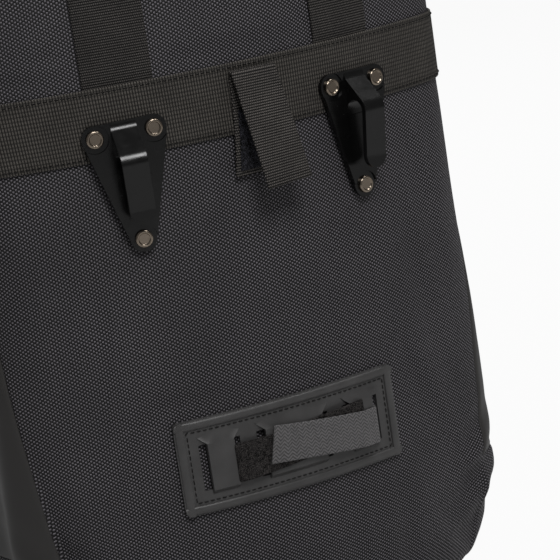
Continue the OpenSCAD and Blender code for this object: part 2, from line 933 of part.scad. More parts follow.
// Strap from the left fold, under the middle bridge, over the sheet, under the right bridge and out
module plate_strap_run() {
    step = slot_w / 4;
    fold_s = left_fold - (dark_out - over_out) / 2 - strap_t / 2;
    path = concat(
        [for (i = [bend_n:-1:0]) fold(-fold_s, over_out, dark_out, -1)[i]],
        [[-mid_slot - 2 * step, over_out], [-mid_slot + 2 * step, under_out]],
        [[0, under_out]],
        [[mid_slot - 2 * step, under_out], [mid_slot + 2 * step, over_out]],
        [[(mid_slot + right_in_slot) / 2, over_out]],
        [[right_in_slot - 2 * step, over_out], [right_in_slot + 2 * step, under_out]],
        [[end_bridge_x, under_out]],
        [[right_out_slot - 2 * step, under_out], [right_out_slot, over_out],
            [right_out_slot - step, dark_out]]);
    color("#2a2a2c")
        plan_ribbon(path, strap_t, strap_z - strap_w / 2, strap_z + strap_w / 2);
}

// A tail of the strap: a bent sheet cut to a slanting outline, with a slant at its left end
module strap_tail(s0, s1, out, rise0, rise1, cut) {
    x0 = round_back(s0, out)[0];
    x1 = round_back(s1, out)[0];
    intersection() {
        on_curve(s0 - strap_w, s1 + strap_w, strap_z - 2 * strap_w, strap_z + 2 * strap_w,
            out - strap_t / 2, out + strap_t / 2);
        through_back()
            translate([0, strap_z])
                polygon([[x0 - cut / 2, rise0 - strap_w / 2], [x1, rise1 - strap_w / 2],
                    [x1, rise1 + strap_w / 2], [x0 + cut / 2, rise0 + strap_w / 2]]);
    }
}

module plate_strap_dark_tail() {
    fold_s = left_fold - (dark_out - over_out) / 2 - strap_t / 2;
    color("#1d1c1c")
        strap_tail(lay_gap - fold_s, dark_end, dark_out, 0, dark_rise, 0);
}

module plate_strap_grey_tail() {
    place = round_back(grey_hinge, grey_out);
    color("#535152") {
        strap_tail(-grey_end, grey_hinge, grey_out, grey_rise, -grey_sag, grey_cut);
        translate([place[0], place[1], strap_z - strap_w / 2 - grey_sag])
            cylinder(r = grey_bead, h = strap_w);
    }
}

module rear_top_flap() {
    color("#23242b")
        translate([-flap_x, flap_gap - mouth_d / 2, top_z - flap_t])
            cube([2 * flap_x, mouth_d / 2 - flap_gap - channel_w / 2, flap_t]);
}

module front_top_flap() {
    mirror([0, 1, 0])
        rear_top_flap();
}

module rear_zip_tape() {
    color("#191919")
        translate([-flap_x, -zip_gap / 2 - tape_w, tape_top - tape_t])
            cube([2 * flap_x, tape_w, tape_t]);
}

module front_zip_tape() {
    mirror([0, 1, 0])
        rear_zip_tape();
}

module rear_zip_coil() {
    color("#101010")
        translate([-flap_x, -zip_gap / 2 - coil_w, coil_top - coil_t])
            cube([2 * flap_x, coil_w, coil_t]);
}

module front_zip_coil() {
    mirror([0, 1, 0])
        rear_zip_coil();
}

// Fixed ends of the zip under the top panel, slotted for the slider's post
module zip_end_tapes() {
    start = mouth_w / 2 + lay_gap;
    color("#191919")
        for (side = [0, 1])
            mirror([side, 0, 0])
                difference() {
                    union() {
                        translate([start, -zip_gap / 2 - tape_w, tape_top - tape_t])
                            cube([zip_end, zip_gap + 2 * tape_w, tape_t]);
                        translate([start, -zip_gap / 2 - coil_w, coil_top - coil_t])
                            cube([zip_end, zip_gap + 2 * coil_w, coil_t + lay_gap + tape_t / 2]);
                    }
                    translate([start - over, -zip_gap / 2, coil_top - coil_t - over])
                        cube([end_slot - start + over, zip_gap, coil_t + lay_gap + tape_t + 2 * over]);
                }
}

module zip_end_stops() {
    color("#3a3a3a")
        for (side = [0, 1])
            mirror([side, 0, 0])
                translate([end_slot, -channel_w / 4, tape_top + lay_gap / 2])
                    cube([stop_l, channel_w / 2, stop_t]);
}

// Slider: plates over the tapes and under the coils, a post between, flanges and two lugs with the pin
module zip_slider() {
    flange_y = zip_gap / 2 + coil_w + slider_gap;
    flange_top = tape_top - tape_t - slider_gap;
    color("#2c2c2e")
        translate([zip_park, 0, 0]) {
            translate([-slider_l / 2, -slider_w / 2, slider_top - slider_t])
                cube([slider_l, slider_w, slider_t]);
            translate([-slider_l / 2, -slider_w / 2, slider_low - slider_t])
                cube([slider_l, slider_w, slider_t]);
            for (side = [0, 1])
                mirror([0, side, 0])
                    translate([-slider_l / 2, flange_y, slider_low - slider_t])
                        cube([slider_l, slider_w / 2 - flange_y, flange_top - slider_low + slider_t]);
            translate([slider_l / 2 - post_l, -post_t / 2, slider_low - slider_t])
                cube([post_l, post_t, slider_top - slider_low + slider_t]);
            for (side = [0, 1])
                mirror([0, side, 0])
                    translate([-eye_r, eye_w / 2 + slider_gap, slider_top - slider_t / 2])
                        cube([2 * eye_r, lug_t, pin_z - slider_top + slider_t / 2]);
            for (side = [0, 1])
                mirror([0, side, 0])
                    translate([0, eye_w / 2 + slider_gap, pin_z])
                        rotate([-90, 0, 0])
                            cylinder(r = eye_r, h = lug_t);
            translate([0, 0, pin_z])
                rotate([90, 0, 0])
                    cylinder(d = pin_d, h = eye_w + 2 * slider_gap + lug_t, center = true);
        }
}

// Pull tab with its eye round the slider's pin
module zip_pull() {
    neck = slider_l / 2 + slider_gap;
    color("#2c2c2e")
        translate([zip_park, 0, pin_z])
            difference() {
                union() {
                    rotate([90, 0, 0])
                        cylinder(r = eye_r, h = eye_w, center = true);
                    translate([0, -eye_w / 2, -pull_t / 2])
                        cube([neck + over, eye_w, pull_t]);
                    translate([neck, -pull_w / 2, -pull_t / 2])
                        cube([pull_l - neck - pull_w / 2, pull_w, pull_t]);
                    translate([pull_l - pull_w / 2, 0, -pull_t / 2])
                        cylinder(d = pull_w, h = pull_t);
                }
                rotate([90, 0, 0])
                    cylinder(d = pin_d + 2 * pin_gap, h = eye_w + 2 * over, center = true);
                translate([pull_l - pull_w / 2, 0, -pull_t])
                    cylinder(d = pull_w / 2, h = 2 * pull_t);
            }
}

back_panel();
left_side_panel();
right_side_panel();
front_panel();
base_panel();
top_panel();
back_board();
base_board();
webbing_band();
left_hook();
right_hook();
left_hook_rivets();
right_hook_rivets();
left_rivet_washers();
right_rivet_washers();
rear_handle_left_end();
rear_handle_right_end();
rear_handle_loop();
front_handle_left_end();
front_handle_right_end();
front_handle_loop();
centre_strap_inner();
centre_strap_loop_patch();
centre_strap_outer();
centre_strap_hook_patch();
strap_plate();
plate_strap_run();
plate_strap_dark_tail();
plate_strap_grey_tail();
rear_top_flap();
front_top_flap();
rear_zip_tape();
front_zip_tape();
rear_zip_coil();
front_zip_coil();
zip_end_tapes();
zip_end_stops();
zip_slider();
zip_pull();
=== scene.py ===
# %% [markdown]
# # A pannier bag, dressed for its portrait
# The bag is a soft shell with two rack hooks, a strap plate, webbing and a zip top.
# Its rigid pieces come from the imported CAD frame, which stays where it is.
# Every soft piece is made here in metres, in the same frame: the hooked back faces -Y and +Z is up.

from math import asin, copysign, cos, dist, hypot, pi, radians, sin, tan

import bmesh
import bpy
import numpy as np
from mathutils import Matrix, Vector
from mathutils.geometry import delaunay_2d_cdt


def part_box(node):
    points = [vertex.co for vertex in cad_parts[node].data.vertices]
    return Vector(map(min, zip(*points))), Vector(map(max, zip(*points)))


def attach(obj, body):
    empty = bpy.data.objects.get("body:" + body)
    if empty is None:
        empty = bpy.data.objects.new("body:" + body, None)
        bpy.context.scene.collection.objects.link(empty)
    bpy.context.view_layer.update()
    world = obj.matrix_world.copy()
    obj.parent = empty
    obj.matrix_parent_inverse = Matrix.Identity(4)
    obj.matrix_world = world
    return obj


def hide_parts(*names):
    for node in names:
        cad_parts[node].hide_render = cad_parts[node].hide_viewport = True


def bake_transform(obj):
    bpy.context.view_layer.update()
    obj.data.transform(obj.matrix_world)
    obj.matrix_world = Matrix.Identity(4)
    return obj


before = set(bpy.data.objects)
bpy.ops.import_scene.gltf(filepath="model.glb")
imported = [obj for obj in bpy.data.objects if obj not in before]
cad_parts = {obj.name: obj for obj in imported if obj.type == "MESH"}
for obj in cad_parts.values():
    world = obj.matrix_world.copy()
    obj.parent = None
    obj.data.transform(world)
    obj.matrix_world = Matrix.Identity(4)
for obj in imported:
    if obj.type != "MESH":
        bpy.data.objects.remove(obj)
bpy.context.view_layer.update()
MM = 0.001
scene = bpy.context.scene
link = scene.collection.objects.link

# %% [markdown]
# ## The camera
# The photograph was taken with a long lens, a little above the bag, to the left of its back, and tilted.
# A camera can be aimed with a constraint, but a measured tilt is easier to give as three axes:
# where the picture's right, its up and the way back to the lens point in the frame.

# %% aim the camera
PICTURE_W = 560
LENS_IN_PIXELS = 2332.7
SENSOR_W = 36.0
PRINCIPAL = (278.9, 282.8)
CAMERA_AT = Vector((-554.7, -1257.9, 541.2)) * MM
VIEW_RIGHT = Vector((0.87675, -0.45901, -0.14362))
VIEW_UP = Vector((0.23095, 0.13986, 0.96286))
VIEW_BACK = Vector((-0.42187, -0.87736, 0.22863))

camera = bpy.data.objects.new("camera", bpy.data.cameras.new("camera"))
camera.data.sensor_width = SENSOR_W
camera.data.lens = LENS_IN_PIXELS * SENSOR_W / PICTURE_W
camera.data.shift_x = (PICTURE_W / 2 - PRINCIPAL[0]) / PICTURE_W
camera.data.shift_y = (PRINCIPAL[1] - PICTURE_W / 2) / PICTURE_W
camera.matrix_world = Matrix((VIEW_RIGHT, VIEW_UP, VIEW_BACK)).transposed().to_4x4()
camera.matrix_world.translation = CAMERA_AT
link(camera)
scene.camera = camera
scene.view_settings.view_transform = "Standard"
print("lens:", round(camera.data.lens, 1), "mm")

# %% [markdown]
# ## Writing shaders as sums
# A finish is a graph of nodes, which is slow to read when each link is a line of its own.
# So one small class stands for a socket, and Python's operators on it add the Math nodes.
# Any other node comes from one method: its type, its settings, then what its sockets take.

# %% the shader writer
def math_node(operation, swapped=False):
    """A method that adds one Math node to a finish; swapped is for a number that stands on the left."""
    def method(self, *others):
        values = (*others, self) if swapped else (self, *others)
        return self.finish.node("Math", {"operation": operation}, dict(enumerate(values)))

    return method


class Wire:
    """A node's output; sums on it add Math nodes."""

    def __init__(self, finish, socket):
        self.finish = finish
        self.socket = socket

    def output(self, name):
        return Wire(self.finish, self.socket.node.outputs[name])

    __add__ = __radd__ = math_node("ADD")
    __mul__ = __rmul__ = math_node("MULTIPLY")
    __sub__ = math_node("SUBTRACT")
    __rsub__ = math_node("SUBTRACT", swapped=True)
    __truediv__ = math_node("DIVIDE")
    __mod__ = math_node("FLOORED_MODULO")
    __pow__ = math_node("POWER")
    floor = math_node("FLOOR")
    size = math_node("ABSOLUTE")
    top = math_node("MAXIMUM")


class Finish:
    """A material, or the world, that is written as sums."""

    def __init__(self, name, blocks=bpy.data.materials):
        self.block = blocks.new(name)
        self.block.use_nodes = True
        self.tree = self.block.node_tree
        self.tree.nodes.clear()

    def node(self, kind, settings=None, sockets=None):
        made = self.tree.nodes.new("ShaderNode" + kind)
        for key, value in (settings or {}).items():
            setattr(made, key, value)
        for key, value in (sockets or {}).items():
            if isinstance(value, Wire):
                self.tree.links.new(value.socket, made.inputs[key])
            else:
                made.inputs[key].default_value = value
        return Wire(self, next((s for s in made.outputs if s.enabled), None))

    def cloth(self):
        """The two directions of a woven piece, in metres: across it and along it."""
        place = self.node("UVMap", {"uv_map": "cloth"})
        split = self.node("SeparateXYZ", {}, {0: place})
        return split.output("X"), split.output("Y")

    def noise(self, size, detail=2.0):
        """Soft blotches of about a size in metres, from 0 to 1."""
        place = self.node("TexCoord").output("Object")
        return self.node("TexNoise", {}, {"Vector": place, "Scale": 1 / size, "Detail": detail})

    def shade(self, share, dark, light):
        return self.node("Mix", {"data_type": "RGBA"}, {0: share, 6: paint(*dark), 7: paint(*light)})

    def surface(self, colour, roughness, height, depth, **constants):
        relief = self.node("Bump", {}, {"Height": height, "Distance": depth})
        sockets = {"Base Color": colour, "Roughness": roughness, "Normal": relief}
        sockets.update({key.replace("_", " "): value for key, value in constants.items()})
        shader = self.node("BsdfPrincipled", {}, sockets)
        self.node("OutputMaterial", {}, {"Surface": shader})
        return self.block


def paint(red, green, blue):
    """A colour as the eye sees it on a screen, from 0 to 255, in the linear light of a shader."""
    seen = [v / 255 for v in (red, green, blue)]
    return [v / 12.92 if v <= 0.04045 else ((v + 0.055) / 1.055) ** 2.4 for v in seen] + [1.0]


print("shader writer ready")

# %% [markdown]
# ## The studio
# A product shot has a pale sweep under and behind the object, and soft lamps.
# The sweep could be lit until it burns out, but that light would wash over the bag too.
# Instead the floor and the world turn white only for the rays that the lens sends out,
# and the floor keeps a part of its real shading, so the bag's shadow stays.

# %% floor, world and lamps
FLOOR_SIZE = 12.0
FLOOR_SHADE = 0.06
WORLD_LIGHT = 0.13
LAMP_TARGET = Vector((0, 0, 0.24))


def lens_rays(finish):
    """1 for the rays of the lens."""
    return finish.node("LightPath").output("Is Camera Ray")


floor_paint = Finish("floor_paint")
floor_matt = floor_paint.node("BsdfDiffuse", {}, {"Color": paint(205, 205, 205)})
floor_glow = floor_paint.node("Emission", {}, {"Color": paint(255, 255, 255)})
floor_mix = floor_paint.node("MixShader", {},
    {0: lens_rays(floor_paint) * (1 - FLOOR_SHADE), 1: floor_matt, 2: floor_glow})
floor_paint.node("OutputMaterial", {}, {"Surface": floor_mix})

bpy.ops.mesh.primitive_grid_add(size=FLOOR_SIZE, x_subdivisions=4, y_subdivisions=4)
floor = bpy.context.object
floor.name = "floor"
floor.data.materials.append(floor_paint.block)

sky = Finish("studio", bpy.data.worlds)
scene.world = sky.block
sky_light = sky.node("Background", {},
    {"Color": paint(255, 255, 255), "Strength": lens_rays(sky) * (1 - WORLD_LIGHT) + WORLD_LIGHT})
sky.node("OutputWorld", {}, {"Surface": sky_light})


def soft_lamp(name, place, size, power):
    lamp = bpy.data.objects.new(name, bpy.data.lights.new(name, "AREA"))
    lamp.data.size = size
    lamp.data.energy = power
    lamp.location = place
    lamp.rotation_euler = (LAMP_TARGET - Vector(place)).to_track_quat("-Z", "Y").to_euler()
    link(lamp)


soft_lamp("key", (-0.15, -1.5, 1.75), 0.7, 19)
soft_lamp("gloss", (0.95, -0.5, 2.0), 0.6, 6)
soft_lamp("rear", (0.5, 1.9, 1.7), 1.2, 28)
print("studio: 3 lamps, world at", WORLD_LIGHT)

# %% [markdown]
# ## Woven finishes
# The back is a coarse ballistic nylon: flat yarns that pass over and under each other like a chequerboard,
# so only every second crossing catches the light, and the lit ones line up in slanting rows.
# An image could show that, but a formula stays sharp at any distance: the cloth's own two directions
# are cut into cells, each cell's parity says which yarn is on top, and that yarn is a small round dome.
# The colour paints that light in: a painted highlight on the crowns of the yarns on top, and painted shade
# between the yarns.

# %% woven finishes
NYLON_PITCH = (1.49 * MM, 1.075 * MM)
TWILL_PITCH = 2.1 * MM
TWILL_ZONE = 2.4 * MM
CURL = 0.65 * MM
TUFT = 2.4 * MM


def dome(place):
    """A round back over each whole step of a place: 1 in the middle of a cell, 0 at its edges."""
    off = (place - place.floor() - 0.5) * 2
    return 1 - off * off


def weave(finish, pitch_across, pitch_along):
    """Which yarn is on top, 0 or 1, and the height of the cloth there."""
    across, along = finish.cloth()
    u = across / pitch_across
    v = along / pitch_along
    over = (u.floor() + v.floor()) % 2
    warp = dome(u) * (0.35 + 0.65 * dome(v))
    weft = dome(v) * (0.35 + 0.65 * dome(u))
    return over, over * warp + (1 - over) * weft * 0.75


def rib_finish(name, dark, light, pitch=1.52 * MM, yarn_pitch=1.15 * MM, step=0.5, crown=0.5, peak=3):
    """Webbing with ribs across it, each rib a row of small yarn crowns that may step sideways."""
    f = Finish(name)
    across, along = f.cloth()
    row = along / pitch
    yarn = across / yarn_pitch + step * (row.floor() % 2)
    height = dome(row) * (1 - crown + crown * dome(yarn))
    # Painted highlight: each rib's crown and its yarn tops are painted light and the grooves between them
    # dark, with patches of lighter and darker tone on top.
    lit = height**peak * (0.45 + 0.7 * f.noise(18 * MM) + 0.4 * f.noise(2.5 * MM))
    colour = f.shade(lit, dark, light)
    return f.surface(colour, 0.75 - 0.15 * lit, height, 0.4 * MM, Specular_IOR_Level=0.25)


def pile_finish(name, dark, light):
    """The soft loops of loop tape: a mat of tiny curls."""
    f = Finish(name)
    # Painted highlight: the tops of the curls, which are also the bump's height, are painted light and the
    # gaps between them dark.
    lit = (f.noise(CURL, 4.0) * 3 + f.noise(TUFT) - 1.6).top(0)
    return f.surface(f.shade(lit, dark, light), 0.92, lit, 0.9 * MM, Specular_IOR_Level=0.2)


f = Finish("nylon_weave")
over, height = weave(f, *NYLON_PITCH)
# Painted highlight and shade: the crowns of the yarns on top are painted light, the other yarns and the
# gaps between them dark, and the whole is lighter and darker over patches of about 60 mm.
lit = height**1.5 * (0.08 + 0.92 * over) * (0.7 + 0.6 * f.noise(60 * MM))
colour = f.shade(lit, (4, 4, 4), (138, 134, 140))
NYLON = f.surface(colour, 0.56 - 0.15 * lit, height, 0.25 * MM, Specular_IOR_Level=0.3)

# The smooth reverse of hook tape: twill lines that change their slant every few millimetres
f = Finish("grey_twill")
across, along = f.cloth()
fold = (along / TWILL_ZONE % 2 - 1).size() * TWILL_ZONE
line = dome((across + fold) / TWILL_PITCH)
# Painted highlight: the crowns of the twill lines are painted light and the grooves between them dark, with
# patches of lighter and darker tone on top.
lit = (0.12 + 0.88 * line) * (0.3 + 0.4 * f.noise(9 * MM) + f.noise(1.2 * MM))
colour = f.shade(lit, (12, 11, 12), (112, 110, 111))
GREY_TWILL = f.surface(colour, 0.66, line, 0.15 * MM, Sheen_Weight=0.1)

BAND_WEB = rib_finish("band_webbing", (19, 18, 17), (94, 90, 85), 1.6 * MM, 2.3 * MM, 0, 0.6, 1.5)
HANDLE_WEB = rib_finish("handle_webbing", (4, 4, 4), (98, 94, 91), 1.46 * MM)
LEAF_WEB = rib_finish("strap_webbing", (4, 4, 4), (114, 109, 105))
ZIP_TAPE = rib_finish("zip_tape_weave", (12, 12, 12), (52, 51, 51), 0.9 * MM)
DARK_PILE = pile_finish("dark_loop_pile", (4, 4, 4), (90, 86, 85))
BLUE_PILE = pile_finish("grey_loop_pile", (5, 5, 6), (78, 78, 86))
HOOK_PILE = pile_finish("hook_pile", (8, 8, 8), (56, 55, 55))
print("woven finishes:", [m.name for m in bpy.data.materials if "floor" not in m.name])

# %% [markdown]
# ## Moulded, coated and metal finishes
# The sides are a coated tarpaulin: satin, with the base cloth just showing through the film.
# The hooks are black moulded nylon with a fine spark grain, the strap plate is softer and greyer,
# and the rivet caps are warm, dished metal with a few smears. A flat colour would look like a toy,
# so each gets a grain in its bump, a slow drift in its colour and worn, shinier spots in its roughness.

# %% moulded, coated and metal finishes
def moulded_finish(name, dark, light, gloss, grain=0.35 * MM, depth=0.03 * MM):
    f = Finish(name)
    colour = f.shade(f.noise(12 * MM, 4.0), dark, light)
    rough = gloss + 0.25 * f.noise(5 * MM, 3.0)
    return f.surface(colour, rough, f.noise(grain, 3.0), depth)


def metal_finish(name, colour, gloss):
    f = Finish(name)
    smear = f.noise(3 * MM, 5.0)
    dull = [0.82 * v for v in colour[:3]] + [1.0]
    tone = f.node("Mix", {"data_type": "RGBA"}, {0: smear, 6: dull, 7: colour})
    return f.surface(tone, gloss + 0.18 * smear, f.noise(1.5 * MM), 0.01 * MM, Metallic=1.0)


f = Finish("coated_fabric")
_, height = weave(f, 0.8 * MM, 0.8 * MM)
colour = f.shade(f.noise(90 * MM, 3.0), (41, 40, 39), (56, 54, 53))
relief = 0.5 * height + f.noise(0.5 * MM)
COATED = f.surface(colour, 0.42 + 0.2 * f.noise(35 * MM), relief, 0.03 * MM)

HOOK_PLASTIC = moulded_finish("hook_plastic", (6, 6, 6), (12, 12, 12), 0.1)
PLATE_RUBBER = moulded_finish("plate_rubber", (58, 57, 57), (84, 83, 83), 0.26, 0.5 * MM, 0.05 * MM)
BOARD = moulded_finish("stiffening_board", (40, 40, 40), (58, 58, 58), 0.45, 1.2 * MM, 0.08 * MM)
COIL = moulded_finish("zip_coil", (12, 12, 12), (24, 24, 24), 0.3)
NICKEL = metal_finish("rivet_nickel", [0.36, 0.3, 0.24, 1.0], 0.12)
WASHER = metal_finish("washer_metal", [0.6, 0.6, 0.61, 1.0], 0.28)
GUNMETAL = metal_finish("zip_gunmetal", [0.09, 0.09, 0.095, 1.0], 0.22)
THREAD = rib_finish("sewing_thread", (17, 16, 16), (62, 60, 59), 0.35 * MM)
PALE_THREAD = rib_finish("plate_thread", (22, 21, 21), (74, 72, 71), 0.35 * MM)
print("finishes in all:", len(bpy.data.materials))

# %% [markdown]
# ## Building blocks for cloth and straps
# A strap is a flat section with round edges that is carried along a path. Blender's curve bevel can do
# that, but it twists where the path turns, and webbing here is sewn to curved cloth.
# So a strap is described by a place function: how far along, how far across and how far out of its face
# give a point. The same loop then makes every strap, and it knows the cloth's directions for the weave.

# %% strap maker
def piece(name, points, faces, finish, cloth, body="bag", slot=None, stands_for=()):
    """A mesh piece that rides on a body; cloth gives each point's, or corner's, place on the flat cloth."""
    mesh = bpy.data.meshes.new(name)
    mesh.from_pydata([tuple(p) for p in points], [], [tuple(f) for f in faces])
    mesh.polygons.foreach_set("use_smooth", [True] * len(mesh.polygons))
    places = np.asarray(cloth, np.float32)
    if len(places) == len(points):
        places = places[[loop.vertex_index for loop in mesh.loops]]
    mesh.uv_layers.new(name="cloth").uv.foreach_set("vector", places.ravel())
    mesh.materials.append(finish)
    mesh.update()
    made = bpy.data.objects.new(name, mesh)
    link(made)
    if body:
        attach(made, body)
    if stands_for:
        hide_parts(*stands_for)
    return made


EDGE_TURN = (60, 20, -20, -60)


def strap_section(width, thick, across):
    """Points of a strap's section, as (across, out) pairs, with round edges."""
    r = thick / 2
    wide = width / 2 - r
    half = [(b, r) for b in np.linspace(-wide, wide, across)]
    half += [(wide + r * cos(a), r * sin(a)) for a in np.radians(EDGE_TURN)]
    return half + [(-b, -out) for b, out in half]


def tube_faces(rows, ring, base=0, capped=True):
    """Faces of a tube of rows of points, with an end face on both sides."""
    faces = [(k + j, k + (j + 1) % ring, k + ring + (j + 1) % ring, k + ring + j)
        for k in range(base, base + (rows - 1) * ring, ring) for j in range(ring)]
    if capped:
        last = base + (rows - 1) * ring
        faces += [tuple(range(base, base + ring))[::-1], tuple(range(last, last + ring))]
    return faces


def strap(name, place, length, width, thick, finish, pitch=2.5 * MM, across=9, **ride):
    """A strap whose place(run, across, out) gives its points, with run from 0 to its length."""
    section = strap_section(width, thick, across)
    runs = np.linspace(0, length, max(2, round(length / pitch) + 1))
    points = [place(run, b, out) for run in runs for b, out in section]
    cloth = [(b, run) for run in runs for b, _ in section]
    made = piece(name, points, tube_faces(len(runs), len(section)), finish, cloth, **ride)
    outward(made)
    return made


def outward(made):
    """Turns a closed piece's faces to point out of it."""
    bm = bmesh.new()
    bm.from_mesh(made.data)
    bmesh.ops.recalc_face_normals(bm, faces=bm.faces)
    bm.to_mesh(made.data)
    bm.free()


def ease(share):
    """A soft step from 0 at 0 to 1 at 1."""
    share = min(max(share, 0.0), 1.0)
    return share * share * (3 - 2 * share)


def fall(distance, fade):
    """1 up to a distance of 0, falling to 0 at the fade."""
    return 1 - ease(distance / fade)


def bump(x, middle, reach):
    """1 at a middle, falling to 0 at a reach from it."""
    return fall(abs(x - middle), reach)


def reach_of(path):
    """How far along a polyline each of its points is."""
    return np.concatenate([[0], np.cumsum(np.linalg.norm(np.diff(path, axis=0), axis=1))])


def along_path(path, places):
    """Points and directions at distances along a polyline."""
    path = np.asarray(path, float)
    reach = reach_of(path)
    step = reach[-1] / 400

    def at(distances):
        return np.stack([np.interp(distances, reach, column) for column in path.T], 1)

    way = at(places + step) - at(places - step)
    return at(places), way / np.linalg.norm(way, axis=1)[:, None]


def corner_to_corner(corners, count):
    """A path of straight sides between corners, with a count of points on each."""
    return [np.array(a) + (np.array(b) - a) * f for a, b in zip(corners, corners[1:])
        for f in np.linspace(0, 1, count)]


STITCH_LIFT = 0.2 * MM
THREAD_SIDES = 6
TURNS = [2 * pi * k / THREAD_SIDES for k in range(THREAD_SIDES)]
# A stitch's rings: place along it, girth, and rise in threads
HALF_STITCH = [(0.12, 1.0, 0.55), (0.36, 0.95, 0.1), (0.5, 0.55, -0.9)]
STITCH_RINGS = [(-run, girth, rise) for run, girth, rise in HALF_STITCH[::-1]] + HALF_STITCH


def stitch_row(name, path, out, body="bag", pitch=3.2 * MM, stitch=2.5 * MM, thread=0.28 * MM,
        finish=THREAD):
    """A row of sewn stitches on a path; out gives the cloth's outward direction at a point."""
    total = reach_of(path)[-1]
    count = max(1, int(total / pitch))
    at, way = along_path(path, (np.arange(count) + 0.5) * total / count)
    points, faces, cloth = [], [], []
    for p, t in zip(at, way):
        n = np.asarray(out(p), float)
        n = n - t * (n @ t)
        n /= np.linalg.norm(n)
        b = np.cross(t, n)
        base = len(points)
        for run, girth, rise in STITCH_RINGS:
            for a in TURNS:
                points.append(p + t * run * stitch + n * (STITCH_LIFT + rise * thread)
                    + (n * sin(a) + b * cos(a)) * girth * thread)
                cloth.append((a * thread, run * stitch + 0.4 * a * thread))
        faces += tube_faces(len(STITCH_RINGS), THREAD_SIDES, base)
    return piece(name, points, faces, finish, cloth, body)


print("strap maker ready")

# %% [markdown]
# ## The shape of the bag
# Seen from above, the bag has a round back, a flatter round front, two straight sides and soft corners.
# One function walks round that outline from the middle of the back, and everything sewn to the bag uses it.
# The side seams slant: they start close to the back at the foot and run forward as they rise.

# %% the outline of the bag
back_low, back_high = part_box("back_panel")
HALF_W = back_high.x
BACK_Y = back_low.y
FRONT_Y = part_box("front_panel")[1].y
BASE_H = back_low.z
BODY_H = back_high.z
BACK_R = 344 * MM
FRONT_R = 420 * MM
CORNER_R = 35 * MM
SEAM_LOW = 31 * MM
SEAM_TOP = 63 * MM
LAY_GAP = 0.2 * MM
WEB_T = 1.6 * MM
WEB_W = 40 * MM
HANDLE_X = 70 * MM

corner_x = HALF_W - CORNER_R
back_a = asin(corner_x / (BACK_R - CORNER_R))
front_a = asin(corner_x / (FRONT_R - CORNER_R))
corner_back_y = BACK_Y + BACK_R - (BACK_R - CORNER_R) * cos(back_a)
corner_front_y = FRONT_Y - FRONT_R + (FRONT_R - CORNER_R) * cos(front_a)
spans = np.cumsum([0, back_a * BACK_R, (pi / 2 - back_a) * CORNER_R, corner_front_y - corner_back_y,
    (pi / 2 - front_a) * CORNER_R, front_a * FRONT_R])
HALF_ROUND = spans[-1]
FRONT_SEAM = spans[3]
# Each stretch from back to front: the centre and radius of its arc, and the angle at which it starts
ARCS = [(0, BACK_Y + BACK_R, BACK_R, 0), (corner_x, corner_back_y, CORNER_R, back_a),
    (corner_x, corner_back_y, CORNER_R, pi / 2), (corner_x, corner_front_y, CORNER_R, pi / 2),
    (0, FRONT_Y - FRONT_R, FRONT_R, pi - front_a)]
STRAIGHT = 2


def round_bag(s, out=0.0):
    """(x, y) at a distance s round the outline from the middle of the back, and the outward direction."""
    flip = np.array([-1.0 if s < 0 else 1.0, 1.0])
    d = min(abs(s), HALF_ROUND)
    k = int(np.searchsorted(spans[1:-1], d))
    x, y, radius, a = ARCS[k]
    if k == STRAIGHT:
        y += d - spans[k]
    else:
        a += (d - spans[k]) / radius
    n = np.array([sin(a), -cos(a)])
    return flip * ((x, y) + (radius + out) * n), flip * n


walk = np.linspace(0, FRONT_SEAM, 600)
walk_y = np.array([round_bag(s)[0][1] for s in walk])


def side_seam(z):
    """Distance of the slanting side seam from the middle of the back, at a height."""
    share = min(max((z - BASE_H) / (BODY_H - BASE_H), 0.0), 1.0)
    return float(np.interp(BACK_Y + SEAM_LOW + (SEAM_TOP - SEAM_LOW) * share, walk_y, walk))


def on_bag(s, z, out=0.0):
    """A point on the bag's upright walls."""
    return np.array([*round_bag(s, out)[0], z])


def bag_out(p):
    """Outward direction of the round back and of its corners near a point."""
    at_corner = abs(p[0]) > BACK_R * sin(back_a)
    centre = (copysign(corner_x, p[0]), corner_back_y) if at_corner else (0.0, BACK_Y + BACK_R)
    return np.array([p[0] - centre[0], p[1] - centre[1], 0.0])


def front_out(p):
    """Outward direction of the round front near a point."""
    return np.array([p[0], p[1] - FRONT_Y + FRONT_R, 0.0])


print("half way round:", round(HALF_ROUND / MM), "mm, side seam at", round(side_seam(BASE_H) / MM), "mm")

# %% [markdown]
# ## The shell, lofted and draped
# The real bag is five cloth panels sewn into a tube with a drawn-in foot. Five plates would meet in dead
# straight lines, so the shell is lofted as one skin first, with a column of points on each seam.
# Blender's cloth then gives it slack: it is held where something is fixed to it, and a little pressure from
# inside swells the rest. Each point's move is capped, so that the hardware still sits on the cloth.

# %% loft the shell
SHELL_STEP = 4.6 * MM
SEAM_EDGE = (1.4 * MM, 3.4 * MM)
BASE_IN = 36 * MM
BASE_TURN = 2.6
FLOOR_RINGS = (0.97, 0.85, 0.65, 0.42, 0.2)


def spread(start, end, sewn_start, sewn_end, count=None):
    """Places from start to end, with two close ones beside each sewn end; a count fixes their number."""
    low = start + SEAM_EDGE[1] * sewn_start
    high = end - SEAM_EDGE[1] * sewn_end
    middle = count - 2 * (sewn_start + sewn_end) if count else max(2, round((high - low) / SHELL_STEP) + 1)
    first = [start, start + SEAM_EDGE[0]] * sewn_start
    last = [end - SEAM_EDGE[0], end] * sewn_end
    return np.concatenate([first, np.linspace(low, high, middle), last])


